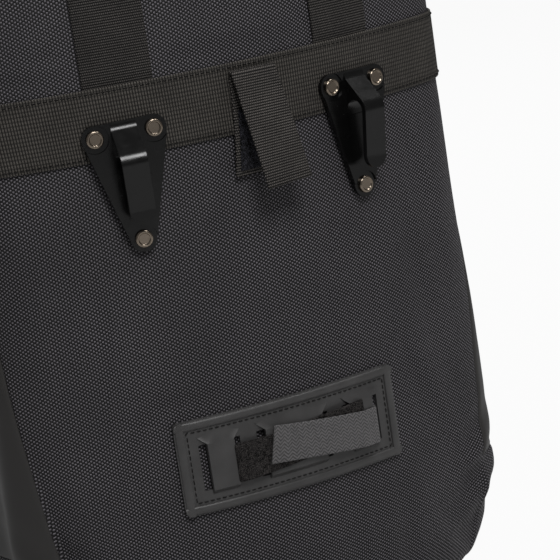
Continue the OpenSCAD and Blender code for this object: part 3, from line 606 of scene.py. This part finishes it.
base_rows = spread(0, BASE_H, False, True)
wall_rows = spread(BASE_H, BODY_H, True, False)[1:]
heights = np.concatenate([base_rows, wall_rows])
seam_row = len(base_rows) - 1
seam_mid = side_seam((BASE_H + BODY_H) / 2)
back_n = len(spread(0, seam_mid, False, True))
side_n = len(spread(seam_mid, FRONT_SEAM, True, True))
front_n = len(spread(FRONT_SEAM, HALF_ROUND, True, False))


def columns(z):
    """Distances round the right half of the bag of its columns at a height; they follow the seam."""
    seam = side_seam(z)
    return np.concatenate([spread(0, seam, False, True, back_n),
        spread(seam, FRONT_SEAM, True, True, side_n)[1:],
        spread(FRONT_SEAM, HALF_ROUND, True, False, front_n)[1:]])


def drawn_in(xy, z):
    """The outline's point at a height, with the foot drawn in."""
    share = max(0.0, 1 - z / BASE_H) ** BASE_TURN
    return np.array([xy[0] * (1 - BASE_IN * share / HALF_W), xy[1] * (1 - BASE_IN * share / FRONT_Y), z])


half_n = back_n + side_n + front_n - 2
ring_n = 2 * (half_n - 1)
rights = np.array([columns(z) for z in heights])
rounds = np.concatenate([rights, -rights[:, -2:0:-1]], 1)


def everywhere(value):
    """What a function of the place on the cloth gives at each point of the walls."""
    return np.array([[value(s, z) for s in row] for z, row in zip(heights, rounds)])


rest = everywhere(lambda s, z: drawn_in(round_bag(s)[0], z))
cloth_up = reach_of(rest[:, 0])
floor_rings = np.array([[p * (share, share, 0) for p in rest[0]] for share in FLOOR_RINGS])
print("shell:", rest.shape[0], "rows of", ring_n, "points")

# %% drape the shell
CLOTH_SETTINGS = {"quality": 7, "mass": 0.25, "tension_stiffness": 25, "compression_stiffness": 25,
    "shear_stiffness": 8, "bending_stiffness": 1.2, "use_pressure": True, "uniform_pressure_force": 1.1,
    "shrink_min": -0.012, "vertex_group_mass": "held"}
DRAPE_GRAVITY = 0.4
DRAPE_FRAMES = 22
BACK_CAP = 1.1 * MM
SIDE_CAP = 5.0 * MM
BASE_CAP = 3.5 * MM
TINY = 1e-9
BAND_HOLD = (347 * MM, 24 * MM)
BAND_FADE, SEAM_HOLD, RIM_HOLD, FOOT_HOLD = 14 * MM, 10 * MM, 16 * MM, 10 * MM
SIDE_FROM, SIDE_FADE = 22 * MM, 30 * MM
BASE_TO, BASE_FADE = 60 * MM, 40 * MM
FRONT_END = HALF_ROUND / MM - 70
# What else is fixed to the cloth, in mm: its middle along and up, half its width and height, and the fade
FIXED = np.array([
    (-72, 310, 26, 40, 14), (72, 310, 26, 40, 14),  # hooks
    (6, 320, 18, 40, 14),  # centre strap
    (0, 144, 76, 32, 16),  # strap plate
    (-70, 460, 22, 100, 12), (70, 460, 22, 100, 12),  # rear handle's ends
    (-FRONT_END, 422, 22, 100, 14), (FRONT_END, 422, 22, 100, 14),  # front handle's ends
]) * MM


def hardware_hold(s, z):
    """1 where webbing, hooks, strap or plate hold the cloth, falling to 0 beside them."""
    band = fall(abs(z - BAND_HOLD[0]) - BAND_HOLD[1], BAND_FADE) * fall(abs(s) - side_seam(z), SEAM_HOLD)
    fixed = [fall(max(abs(s - at) - wide, abs(z - up) - high), fade) for at, up, wide, high, fade in FIXED]
    return max(band, *fixed, fall(BODY_H - z, RIM_HOLD), fall(z, FOOT_HOLD))


held = everywhere(hardware_hold)


def cap(s, z):
    """How far the cloth may move at a place."""
    side = BACK_CAP + (SIDE_CAP - BACK_CAP) * ease((abs(s) - side_seam(z) + SIDE_FROM) / SIDE_FADE)
    return BASE_CAP + (side - BASE_CAP) * ease((z - BASE_TO) / BASE_FADE)


def drape(points, faces, hold):
    """Runs Blender's cloth on a skin and returns where its points end up."""
    mesh = bpy.data.meshes.new("drape")
    mesh.from_pydata(points.tolist(), [], faces)
    skin = bpy.data.objects.new("drape", mesh)
    link(skin)
    group = skin.vertex_groups.new(name="held")
    for k, weight in enumerate(hold):
        if weight > 0.01:
            group.add([k], float(weight), "REPLACE")
    cloth = skin.modifiers.new("cloth", "CLOTH")
    for key, value in CLOTH_SETTINGS.items():
        setattr(cloth.settings, key, value)
    cloth.settings.effector_weights.gravity = DRAPE_GRAVITY
    cloth.point_cache.frame_start = 1
    cloth.point_cache.frame_end = DRAPE_FRAMES
    for step in range(1, DRAPE_FRAMES + 1):
        scene.frame_set(step)
    draped = skin.evaluated_get(bpy.context.evaluated_depsgraph_get())
    moved = np.array([v.co for v in draped.data.vertices])
    bpy.data.objects.remove(skin)
    scene.frame_set(1)
    return moved


def closed(walls):
    """All points of the skin: the floor's rings, the walls, and last the middle of the floor."""
    return np.concatenate([*floor_rings[::-1], *walls, [[0, 0, 0]]])


floor_n = len(floor_rings) * ring_n
skin = closed(rest)
skin_faces = tube_faces(len(skin) // ring_n, ring_n, capped=False)
skin_faces += [(len(skin) - 1, (j + 1) % ring_n, j) for j in range(ring_n)]
skin_hold = np.concatenate([np.ones(floor_n), held.ravel(), [1.0]])
moved = drape(skin, skin_faces, skin_hold)
shift = (moved - skin)[floor_n:-1].reshape(rest.shape)
length = np.linalg.norm(shift, axis=2)
limit = everywhere(cap) * (1 - held)
capped = limit * np.tanh(length / np.maximum(limit, 0.001 * MM))
slack = shift * np.where(length > TINY, capped / np.maximum(length, TINY), 0)[..., None]
shell = rest + slack
print("drape: the most that a point moved is", round(float(length.max() / MM), 1), "mm, kept",
    round(float(np.linalg.norm(slack, axis=2).max() / MM), 1), "mm")

# %% [markdown]
# ## Seams, puckers and panels
# A sewn seam pulls the cloth in along a narrow line, and a tight curve leaves small gathers beside it.
# The drape is too coarse for both, so they are added as a height along the outward direction.
# Then the skin is cut into panels by column: nylon for the back and the foot, which are one cloth on the
# real bag, and coated cloth for the sides and the front. Each gets a lining by being made solid inward.

# %% seams and puckers
SEAM_DEPTH = 0.9 * MM
SEAM_REACH = 1.2 * MM
SEAM_FADE = 5 * MM
CLOTH_T = 1.6 * MM
# Depths, then middles and reaches up the bag or past the side seam; -1 is the left side and 1 the right
PUCKER = 2.1 * MM
PUCKER_PITCH = 31 * MM
PUCKER_SLANT = 45 * MM
PUCKER_PHASE = {-1: 0.2, 1: 0.0}
PUCKER_UP = (82 * MM, 60 * MM)
PUCKER_PAST = (2 * MM, 42 * MM)
CREASE = {-1: 7.5 * MM, 1: 1.2 * MM}
CREASE_REACH = 18 * MM
CREASE_UP = (58 * MM, 150 * MM)
CREASE_FADE = 40 * MM
BULGE = 8.5 * MM
BULGE_FROM, BULGE_RISE = 40 * MM, 50 * MM
BULGE_TO, BULGE_FALL = 290 * MM, 110 * MM
BULGE_PAST = (26 * MM, 44 * MM)


def sewn(s, z):
    """How far the cloth stands out or in at a place, because of seams, puckers and creases."""
    side = -1 if s < 0 else 1
    past = abs(s) - side_seam(z)
    groove = max(0, 1 - abs(past) / SEAM_REACH, 1 - abs(abs(s) - FRONT_SEAM) / SEAM_REACH)
    foot = max(0, 1 - abs(z - BASE_H) / SEAM_REACH) * ease(past / SEAM_FADE)
    wave = sin(2 * pi * (z / PUCKER_PITCH - past / PUCKER_SLANT + PUCKER_PHASE[side]))
    gather = PUCKER * wave * bump(z, *PUCKER_UP) * bump(past, *PUCKER_PAST)
    crease = CREASE[side] * max(0, 1 + past / CREASE_REACH) * bump(z, *CREASE_UP) * ease(z / CREASE_FADE)
    swell = BULGE * ease((z - BULGE_FROM) / BULGE_RISE) * ease((BULGE_TO - z) / BULGE_FALL)
    swell *= bump(past, *BULGE_PAST)
    return swell + gather - crease * (past < 0) - SEAM_DEPTH * max(groove, foot)


shell[..., :2] += everywhere(lambda s, z: round_bag(s)[1] * sewn(s, z))
print("seams and puckers on", shell.shape[0] * shell.shape[1], "points")

# %% cut the panels
def panel_of(row, column):
    """Which panel a face of the walls belongs to, by its row and its column."""
    right = column < half_n - 1
    k = column if right else ring_n - 1 - column
    if row < seam_row or k < back_n - 1:
        return "nylon_body"
    if k < back_n + side_n - 2:
        return "right_side" if right else "left_side"
    return "front"


def cloth_place(row, column, wrap):
    """A corner's place on the flat cloth; wrap keeps a face whole where the walk round the bag closes."""
    s = rounds[row, column]
    return (s + 2 * HALF_ROUND if wrap and s < 0 else s, cloth_up[row])


skin = closed(shell)
panels = {}
for face in skin_faces:
    flat = min(face) < floor_n
    corners = [divmod(k - floor_n, ring_n) for k in face]
    row, j = corners[0]
    name = "nylon_body" if flat else panel_of(row, j)
    wrap = half_n - 1 <= j < ring_n - 1 and (name == "front" or j == half_n - 1)
    faces, cloth = panels.setdefault(name, ([], []))
    faces.append(face)
    cloth += [skin[k, :2] for k in face] if flat else [cloth_place(*c, wrap) for c in corners]


def lined(made):
    """Gives a sheet of cloth its thickness, inward."""
    lining = made.modifiers.new("lining", "SOLIDIFY")
    lining.thickness = CLOTH_T
    lining.offset = -1


def panel(name, finish, slot, *nodes):
    """One panel of the skin, smoothed and lined."""
    faces, cloth = panels[name]
    used = sorted({k for face in faces for k in face})
    place = {k: n for n, k in enumerate(used)}
    faces = [[place[k] for k in face] for face in faces]
    made = piece(name, skin[used], faces, finish, cloth, slot=slot, stands_for=nodes)
    smooth = made.modifiers.new("smooth", "SUBSURF")
    smooth.levels = smooth.render_levels = 1
    lined(made)


panel("nylon_body", NYLON, "nylon", "back_panel", "base_panel")
for name in ("left_side", "right_side", "front"):
    panel(name, COATED, "coated_fabric", name + "_panel")
print("panels:", {name: len(faces) for name, (faces, _) in panels.items()})

# %% [markdown]
# ## The top panel
# The top is a frame of nylon round the way in, set a little below the edge of the walls, with a notch at
# each end for the zip. A filled outline has no inner points to sag, so points are strewn over it and joined
# by a Delaunay mesh, which also keeps to the edges; then the cloth sinks a little between them.

# %% top panel
TOP_STEP = 6 * MM
TOP_SAG = 1.8 * MM
SAG_FADE = 14 * MM
ZIP_HALF, ZIP_FADE = 18 * MM, 16 * MM
RIM_OUT = -1.2 * MM
MOUTH_GAP = 0.6 * MM
NOTCH_GAP = 1.5 * MM
flap_low, flap_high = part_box("rear_top_flap")
stop_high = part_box("zip_end_stops")[1]
TOP_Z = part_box("top_panel")[1].z
MOUTH = (flap_high.x + MOUTH_GAP, -flap_low.y + MOUTH_GAP)
NOTCH = (stop_high.x + NOTCH_GAP, -flap_high.y)


def in_mouth(x, y, grow=0.0):
    return any(abs(x) < w + grow and abs(y) < h + grow for w, h in (MOUTH, NOTCH))


def loop_edges(first, count):
    return [(first + k, first + (k + 1) % count) for k in range(count)]


def nearest(points, x, y):
    """Distance from a place to the nearest of some points."""
    return np.hypot(*(points - (x, y)).T).min()


def rim_points(count):
    """Points round the inside of the walls."""
    places = np.linspace(-HALF_ROUND, HALF_ROUND, count + 1)[:-1]
    return np.array([round_bag(s, RIM_OUT)[0] for s in places])


rim = rim_points(160)
mx, my = MOUTH
nx, ny = NOTCH
half = [(mx, my), (-mx, my), (-mx, ny), (-nx, ny), (-nx, -ny), (-mx, -ny)]
corners = half + [(-x, -y) for x, y in half]
mouth = []
for a, b in zip(corners, corners[1:] + corners[:1]):
    steps = max(1, round(dist(a, b) / TOP_STEP))
    mouth += [np.array(a) + (np.array(b) - a) * k / steps for k in range(steps)]
strewn = [(x, y) for x in np.arange(-HALF_W, HALF_W, TOP_STEP) for y in np.arange(BACK_Y, FRONT_Y, TOP_STEP)
    if not in_mouth(x, y, 0.5 * TOP_STEP) and nearest(rim, x, y) > 0.6 * TOP_STEP]
flat = [Vector(p) for p in [*rim, *mouth, *strewn]]
edges = loop_edges(0, len(rim)) + loop_edges(len(rim), len(mouth))
flat, _, faces, *_ = delaunay_2d_cdt(flat, edges, [], 1, 1e-6)
rim_edge = rim_points(799)


def top_height(x, y):
    """Height of the top panel: it sinks between the walls and the way in, but not over the zip's ends."""
    wall = nearest(rim_edge, x, y)
    way_in = hypot(max(abs(x) - mx, 0), max(abs(y) - my, 0))
    return TOP_Z - TOP_SAG * ease(min(wall, way_in) / SAG_FADE) * ease((abs(y) - ZIP_HALF) / ZIP_FADE)


points = [(p.x, p.y, top_height(p.x, p.y)) for p in flat]
kept = [f for f in faces if not in_mouth(*np.mean([flat[k] for k in f], axis=0))]
top = piece("top_frame", points, kept, NYLON, [p[:2] for p in points], slot="nylon",
    stands_for=("top_panel",))
lined(top)
print("top panel:", len(kept), "faces")

# %% [markdown]
# ## The webbing band
# A band of webbing is sewn across the back, level with the hooks, and ends in the side seams.
# It is the first strap: its place function walks round the outline, stretched a little at each height so
# that both cut ends follow the slant of the seams. Two rows of stitches hold its edges.

# %% webbing band
band_low, band_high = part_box("webbing_band")
BAND_MID = (band_low.z + band_high.z) / 2
band_run = 2 * side_seam(BAND_MID)
EDGE_STITCH = 2.4 * MM


def on_band(run, across, out):
    z = BAND_MID + across
    return on_bag((2 * run / band_run - 1) * side_seam(z), z, LAY_GAP + WEB_T / 2 + out)


strap("band_strap", on_band, band_run, WEB_W, WEB_T, BAND_WEB, slot="webbing", stands_for=("webbing_band",))
for name, edge in (("low", -1), ("top", 1)):
    across = edge * (WEB_W / 2 - EDGE_STITCH)
    path = [on_band(run, across, WEB_T / 2) for run in np.linspace(0, band_run, 240)]
    stitch_row(f"band_stitches_{name}", path, bag_out)
print("band:", round(band_run / MM), "mm")

# %% [markdown]
# ## Hooks, rivets and the strap plate
# These are moulded or turned, and the CAD has their true form, but its edges are knife sharp.
# Real moulded edges have a small radius that catches a line of light. So each one is copied, flat facets
# are joined, and a narrow bevel rounds the edges. The CAD node itself stays as it is, out of sight.

# %% rounded hardware
CAP_AREA = 40 * MM * MM
CAP_RIM = 0.5 * MM
CAP_SIDES = 24
SHARP = radians(32)


def rounded(node, finish, bevel, body="bag", dish=0.0):
    """A copy of a CAD node with rounded edges; the flat tops of rivet caps may get a dish."""
    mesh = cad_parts[node].data.copy()
    bm = bmesh.new()
    bm.from_mesh(mesh)
    bmesh.ops.remove_doubles(bm, verts=bm.verts, dist=0.002 * MM)
    bmesh.ops.dissolve_limit(bm, angle_limit=radians(0.05), verts=bm.verts, edges=bm.edges)
    if dish:
        caps = [f for f in bm.faces
            if f.normal.y < -0.9 and len(f.verts) > CAP_SIDES and f.calc_area() > CAP_AREA]
        for depth in (0, -dish):
            bmesh.ops.inset_individual(bm, faces=caps, thickness=CAP_RIM, depth=depth, use_even_offset=True)
    bm.to_mesh(mesh)
    bm.free()
    mesh.materials.clear()
    mesh.materials.append(finish)
    mesh.polygons.foreach_set("use_smooth", [True] * len(mesh.polygons))
    mesh.set_sharp_from_angle(angle=SHARP)
    made = bpy.data.objects.new(node + "_rounded", mesh)
    link(made)
    edge = made.modifiers.new("edge", "BEVEL")
    edge.width = bevel
    edge.segments = 2
    edge.limit_method = "ANGLE"
    edge.angle_limit = SHARP
    made.modifiers.new("shading", "WEIGHTED_NORMAL").keep_sharp = False
    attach(made, body)
    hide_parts(node)


for side in ("left", "right"):
    rounded(side + "_hook", HOOK_PLASTIC, 0.7 * MM)
    rounded(side + "_hook_rivets", NICKEL, 0.1 * MM, dish=0.7 * MM)
    rounded(side + "_rivet_washers", WASHER, 0.1 * MM)
rounded("strap_plate", PLATE_RUBBER, 0.5 * MM)
rounded("zip_slider", GUNMETAL, 0.15 * MM, "slider")
rounded("zip_pull", GUNMETAL, 0.15 * MM, "pull")
rounded("zip_end_stops", GUNMETAL, 0.15 * MM)
for board in ("back_board", "base_board"):
    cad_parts[board].data.materials.clear()
    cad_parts[board].data.materials.append(BOARD)

PLATE_Z = sum(corner.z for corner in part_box("strap_plate")) / 2
SHEET_OUT = 2.2 * MM
SEW_W = 64.1 * MM
SEW_H = 20.9 * MM
box = [(-SEW_W, -SEW_H), (SEW_W, -SEW_H), (SEW_W, SEW_H), (-SEW_W, SEW_H), (-SEW_W, -SEW_H)]
path = [on_bag(s, PLATE_Z + up, SHEET_OUT) for s, up in corner_to_corner(box, 60)]
stitch_row("plate_stitches", path, bag_out, pitch=3.6 * MM, stitch=2.6 * MM, thread=0.32 * MM,
    finish=PALE_THREAD)
print("hardware: 10 rounded pieces")

# %% [markdown]
# ## The handles
# Each handle is one length of webbing, from one sewn end over the loop to the other.
# The ends lie on the round face; above the edge the strap leaves it and turns by a quarter until the grip
# lies flat under a hand. The rear ends go under the band. Where the loop swings, the strap is one piece
# instead of being cut.

# %% handles
LOOP_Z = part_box("rear_handle_left_end")[1].z + 1.25 * MM
LOOP_LEG = 60 * MM
TUCK = 5 * MM
FREE_FROM, FREE_PAST = 4 * MM, 2 * MM


def handle(name, radius, mirror, start, tuck, nodes):
    """One handle; mirror is -1 for the front one, and tuck is how far its ends sink under the band."""
    turn = asin(HANDLE_X / radius)
    stand = radius + LAY_GAP + WEB_T / 2
    reach = stand * sin(turn)
    leg_y = BACK_Y + radius - stand * cos(turn)
    end_run = LOOP_Z - start
    half_run = LOOP_LEG + reach * pi / 2
    total = 2 * (end_run + half_run)

    def left(run, across, out):
        if run < end_run:
            z = start + run
            free = ease((z - BODY_H + FREE_FROM) / (LOOP_Z - BODY_H + FREE_PAST))
            sunk = tuck * ease((start + 2 * TUCK - z) / (1.5 * TUCK))
            a = turn - across / radius
            r = stand + out - sunk
            on_face = np.array([-r * sin(a), BACK_Y + radius - r * cos(a), z])
            flat = np.array([-reach + across, leg_y - out, z])
            return on_face * (1 - free) + flat * free
        d = run - end_run
        a = min(max(0.0, (d - LOOP_LEG) / reach), pi / 2)
        w = pi / 2 * ease(d / half_run)
        t = np.array([sin(a), 0, cos(a)])
        n = np.array([-cos(a) * sin(w), -cos(w), sin(a) * sin(w)])
        p = np.array([-reach * cos(a), leg_y, LOOP_Z + min(d, LOOP_LEG) + reach * sin(a)])
        return p + np.cross(t, n) * across + n * out

    def place(run, across, out):
        p = left(min(run, total - run), across, out)
        return p * (1 if run <= total / 2 else -1, mirror, 1)

    made = strap(name, place, total, WEB_W, WEB_T, HANDLE_WEB, body=None, slot="webbing", stands_for=nodes)
    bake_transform(made)
    return place, total


_, rear_run = handle("rear_handle_strap", BACK_R, 1, band_high.z - TUCK, WEB_T,
    ("rear_handle_left_end", "rear_handle_right_end", "rear_handle_loop"))
front_place, front_run = handle("front_handle_strap", FRONT_R, -1, band_low.z, 0.0,
    ("front_handle_left_end", "front_handle_right_end", "front_handle_loop"))

BOX_LOW, BOX_TOP, BOX_W = 4 * MM, 36 * MM, 16 * MM
box = [(BOX_LOW, -BOX_W), (BOX_TOP, -BOX_W), (BOX_TOP, BOX_W), (BOX_LOW, BOX_W)]
spots = [*box, box[0], box[2], box[3], box[1]]
for name, end in (("left", 0), ("right", 1)):
    path = [front_place(abs(end * front_run - run), across, WEB_T / 2)
        for run, across in corner_to_corner(spots, 24)]
    stitch_row(f"front_handle_stitches_{name}", path, front_out)
print("handles:", round(rear_run / MM), "and", round(front_run / MM), "mm of webbing")

# %% [markdown]
# ## The centre strap
# Between the hooks a short strap is folded over: its inner leaf lies on the band and its outer leaf hangs
# in front and stands away a little, with soft loop tape between them. A flat sheet bent once would crease,
# so the path has a small half round at the fold, and the leaf is bowed as webbing is when it has a memory.

# %% centre strap
LEAF_X = 6 * MM
LEAF_W = 28 * MM
LEAF_SEAT = 2.0 * MM
LEAF_Z = 340.5 * MM
FOLD_Z = 19.5 * MM
FOLD_R = 2.0 * MM
INNER_DROP = 37 * MM
OUTER_RUN = 65.6 * MM
LEAN = radians(15)
SLANT = tan(radians(4))
INNER_SHIFT = 4.5 * MM
OUTER_BOW = 0.9 * MM
OUTER_SINK = 1.2 * MM
HEM = 4 * MM
HEM_W = 25 * MM
leaf_a = asin(LEAF_X / BACK_R)
leaf_out = np.array([sin(leaf_a), -cos(leaf_a), 0])
leaf_side = np.array([cos(leaf_a), sin(leaf_a), 0])
leaf_base = np.array([0, BACK_Y + BACK_R, LEAF_Z]) + (BACK_R + LEAF_SEAT) * leaf_out
inner_run = INNER_DROP + FOLD_Z
fold_run = pi * FOLD_R
leaf_run = inner_run + fold_run + OUTER_RUN


def on_leaf(run, across, out):
    """A point on the folded strap: up the inner leaf, over the fold and down the outer leaf."""
    if run < inner_run:
        sideways = across - INNER_SHIFT * (1 - run / inner_run) ** 2
        p = (WEB_T / 2 + out, run - INNER_DROP)
    elif run < inner_run + fold_run:
        a = pi * (1 - (run - inner_run) / fold_run)
        sideways = across
        p = (WEB_T / 2 + FOLD_R + (FOLD_R + out) * cos(a), FOLD_Z + (FOLD_R + out) * sin(a))
    else:
        d = run - inner_run - fold_run
        share = d / OUTER_RUN
        lean = LEAN * ease(share * 3)
        bow = OUTER_BOW * sin(pi * share) - OUTER_SINK * ease(share * 3)
        lift = (across + LEAF_W / 2) * SLANT * share**2
        sideways = across + d * SLANT
        p = (WEB_T / 2 + 2 * FOLD_R + d * sin(LEAN) + bow + out * cos(lean),
            FOLD_Z - d * cos(LEAN) + lift + out * sin(lean))
    return leaf_base + leaf_side * sideways + leaf_out * p[0] + np.array([0, 0, p[1]])


leaf = strap("centre_strap", on_leaf, leaf_run, LEAF_W, WEB_T, LEAF_WEB, 1.6 * MM, body=None,
    slot="webbing", stands_for=("centre_strap_inner", "centre_strap_outer"))
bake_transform(leaf)
hem = [on_leaf(leaf_run - HEM, across, WEB_T / 2) for across in np.linspace(-HEM_W / 2, HEM_W / 2, 30)]
stitch_row("centre_strap_hem", hem, lambda p: leaf_out, body="leaf", pitch=2.6 * MM, stitch=2.0 * MM)

PATCH_W = 23 * MM
PATCH_L = 34 * MM
PATCH_T = 1.0 * MM
PATCH_FROM = 3 * MM
PATCH_OFF = WEB_T / 2 + 0.1 * MM + PATCH_T / 2
strap("loop_patch", lambda run, across, out: on_leaf(PATCH_FROM + run, across, PATCH_OFF + out),
    PATCH_L, PATCH_W, PATCH_T, BLUE_PILE, slot="loop_tape", stands_for=("centre_strap_loop_patch",))
strap("hook_patch", lambda run, across, out: on_leaf(leaf_run - PATCH_FROM - run, across, out - PATCH_OFF),
    PATCH_L, PATCH_W, PATCH_T, HOOK_PILE, body="leaf", slot="hook_tape",
    stands_for=("centre_strap_hook_patch",))
print("centre strap:", round(leaf_run / MM), "mm long")

# %% [markdown]
# ## The plate's strap
# One hook-and-loop strap weaves through the plate: under the middle bridge, over the sheet beside it, under
# the right bridge, and back over everything as a grey tail. Its left end is folded back under that tail.
# The path is a few points in plan, given along the curve and out from the cloth, which are then softened:
# a strap of this stiffness can't turn a sharp corner.

# %% plate strap
STRAP_W = 22 * MM
STRAP_T = 1.5 * MM
STRAP_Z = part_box("plate_strap_run")[0].z + STRAP_W / 2
GREY_CUT = 5.4 * MM
UNDER, OVER, DARK, GREY = 1.15, 3.25, 5.85, 7.65
# Along the curve, out from the cloth and up, in mm
DARK_PATH = [(46, DARK, 5.5), (0, DARK, 2.4), (-30, DARK + 0.4, 0), (-35.6, DARK + 0.6, 0),
    (-38, DARK - 0.4, 0), (-38.2, 4.3, 0), (-36.5, OVER + 0.2, 0), (-33, OVER, 0), (-23.2, OVER, 0),
    (-18.7, UNDER, 0), (18.7, UNDER, 0), (23.2, OVER, 0), (33.5, OVER, 0), (38, UNDER, 0), (53, UNDER, 0)]
GREY_PATH = [(52, 1.3, -0.6), (54.9, 2.0, -1.4), (55.1, 4.6, -1.8), (53.8, 5.7, -1.9), (50, 5.9, -1.9),
    (44, GREY, -1.4), (-17, GREY, 6.2)]
FINE_STEP = 0.25 * MM
CUT_RUN = 20 * MM


def softened(path, soft=9):
    """A path as close points with its corners rounded: the distances along it, and the points."""
    path = np.array(path) * MM
    reach = reach_of(path[:, :2])
    fine = np.linspace(0, reach[-1], int(reach[-1] / FINE_STEP))
    dense = np.stack([np.interp(fine, reach, column) for column in path.T], 1)
    for _ in range(3):
        wide = np.pad(dense, ((soft // 2, soft // 2), (0, 0)), "edge")
        dense = np.stack([np.convolve(column, np.ones(soft) / soft, "valid") for column in wide.T], 1)
    return reach_of(dense[:, :2]), dense


def ribbon_place(path, cut=0.0):
    """The place function of a strap that follows a path in plan, with a slant at its far end."""
    reach, dense = softened(path)
    way = np.gradient(dense[:, :2], axis=0)
    way /= np.linalg.norm(way, axis=1)[:, None]

    def place(run, across, out):
        s, o, rise = (np.interp(run, reach, dense[:, k]) for k in range(3))
        ws, wo = (np.interp(run, reach, way[:, k]) for k in range(2))
        s += cut * across / STRAP_W * ease((run - reach[-1] + CUT_RUN) / CUT_RUN)
        return on_bag(s + wo * out, STRAP_Z + rise + across, o - ws * out)

    return place, reach[-1]


dark_place, dark_run = ribbon_place(DARK_PATH)
strap("plate_strap_dark", dark_place, dark_run, STRAP_W, STRAP_T, DARK_PILE, 0.8 * MM, slot="loop_tape",
    stands_for=("plate_strap_run", "plate_strap_dark_tail"))
grey_place, grey_run = ribbon_place(GREY_PATH, GREY_CUT)
grey = strap("plate_strap_grey", grey_place, grey_run, STRAP_W, STRAP_T, GREY_TWILL, 0.8 * MM, body=None,
    slot="hook_tape", stands_for=("plate_strap_grey_tail",))
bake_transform(grey)
print("plate strap:", round(dark_run / MM), "mm dark and", round(grey_run / MM), "mm grey")

# %% [markdown]
# ## The zip top
# Two flaps close the way in and meet at a zip. Each is sewn to the frame along its outer edge.
# The zip is a coil: on the real one a plastic wire is wound and sewn under each tape,
# so every tooth is a small loop. Instances would do, but one mesh per coil is simpler to carry along.

# %% flaps and zip
FLAP_T = 2.0 * MM
FLAP_LAP = 4.5 * MM
LAP_RISE = 1.8 * MM
LAP_IN, LAP_FADE = 2 * MM, 3 * MM
LAP_THIN = 0.4
FLAP_SAG = 1.2 * MM
SAG_REACH = 22 * MM
FLAP_HEM = 3 * MM
END_TAPE = 27 * MM
TAPE_W = 15 * MM
TAPE_T = 0.9 * MM
ZIP_GAP = 1.6 * MM
COIL_PITCH = 1.6 * MM
WIRE_R = 0.42 * MM
tape_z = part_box("rear_zip_tape")[1].z - TAPE_T / 2
coil_low, coil_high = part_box("rear_zip_coil")
end_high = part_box("zip_end_tapes")[1]
flap_w = -flap_low.y + flap_high.y + FLAP_LAP
flap_mid = (flap_low.y - FLAP_LAP + flap_high.y) / 2
flap_len = 2 * flap_high.x


def flap_place(mirror):
    """Place function of a flap, which laps over the frame; mirror is -1 for the front one."""
    def place(run, across, out):
        y = flap_mid + across
        lap = ease((flap_low.y + LAP_IN - y) / LAP_FADE)
        sag = FLAP_SAG * sin(pi * run / flap_len) * bump(y, flap_mid, SAG_REACH)
        z = TOP_Z - FLAP_T / 2 + out * (1 - LAP_THIN * lap) + LAP_RISE * lap - sag
        return np.array([run - flap_len / 2, mirror * y, z])

    return place


def lengthwise(mirror, start):
    """Place function of a straight tape along the zip."""
    mid = -(ZIP_GAP + TAPE_W) / 2
    return lambda run, across, out: np.array([start + run, mirror * (mid + across), tape_z + out])


def coil_teeth(name, mirror, body, node):
    """One coil: a row of small loops, each bent round from the tape's edge and back."""
    y0, y1 = -coil_high.y, -coil_low.y
    top, low = coil_high.z - WIRE_R, coil_low.z + WIRE_R
    bend = [(y1, top), (y0 + 2 * WIRE_R, top), (y0 + WIRE_R, (top + low) / 2), (y0 + 2 * WIRE_R, low),
        (y1, low)]
    points, faces, cloth = [], [], []
    for x in np.arange(coil_low.x + WIRE_R, coil_high.x, COIL_PITCH):
        faces += tube_faces(len(bend), THREAD_SIDES, len(points))
        for k, (y, z) in enumerate(bend):
            a = pi / 2 - pi * min(max(k - 1, 0), 2) / 2
            for turn in TURNS:
                out = WIRE_R * sin(turn)
                p = (x + WIRE_R * cos(turn), y - out * cos(a), z + out * sin(a))
                points.append(np.array(p) * (1, mirror, 1))
                cloth.append((turn * WIRE_R, k * MM))
    outward(piece(name, points, faces, COIL, cloth, body, "zip_coil", (node,)))


for name, mirror in (("rear", 1), ("front", -1)):
    body = name + "_flap"
    flap_at = flap_place(mirror)
    flap = strap(name + "_flap_cloth", flap_at, flap_len, flap_w, FLAP_T, NYLON, 5 * MM, 23, body=None,
        slot="nylon", stands_for=(name + "_top_flap",))
    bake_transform(flap)
    runs = np.linspace(2 * MM, flap_len - 2 * MM, 120)
    hem = [flap_at(run, flap_w / 2 - FLAP_HEM, FLAP_T / 2) for run in runs]
    stitch_row(name + "_flap_stitches", hem, lambda p: (0, 0, 1), body=body)
    strap(name + "_tape", lengthwise(mirror, -flap_len / 2), flap_len, TAPE_W, TAPE_T, ZIP_TAPE, 5 * MM,
        body=body, slot="zip_tape", stands_for=(name + "_zip_tape",))
    coil_teeth(name + "_coil", -mirror, body, name + "_zip_coil")
    for side, start in (("left", -end_high.x), ("right", end_high.x - END_TAPE)):
        strap(f"{name}_{side}_end_tape", lengthwise(mirror, start), END_TAPE, TAPE_W, TAPE_T, ZIP_TAPE,
            slot="zip_tape", stands_for=("zip_end_tapes",))
print("zip: two flaps,", round(flap_len / COIL_PITCH), "teeth a side")
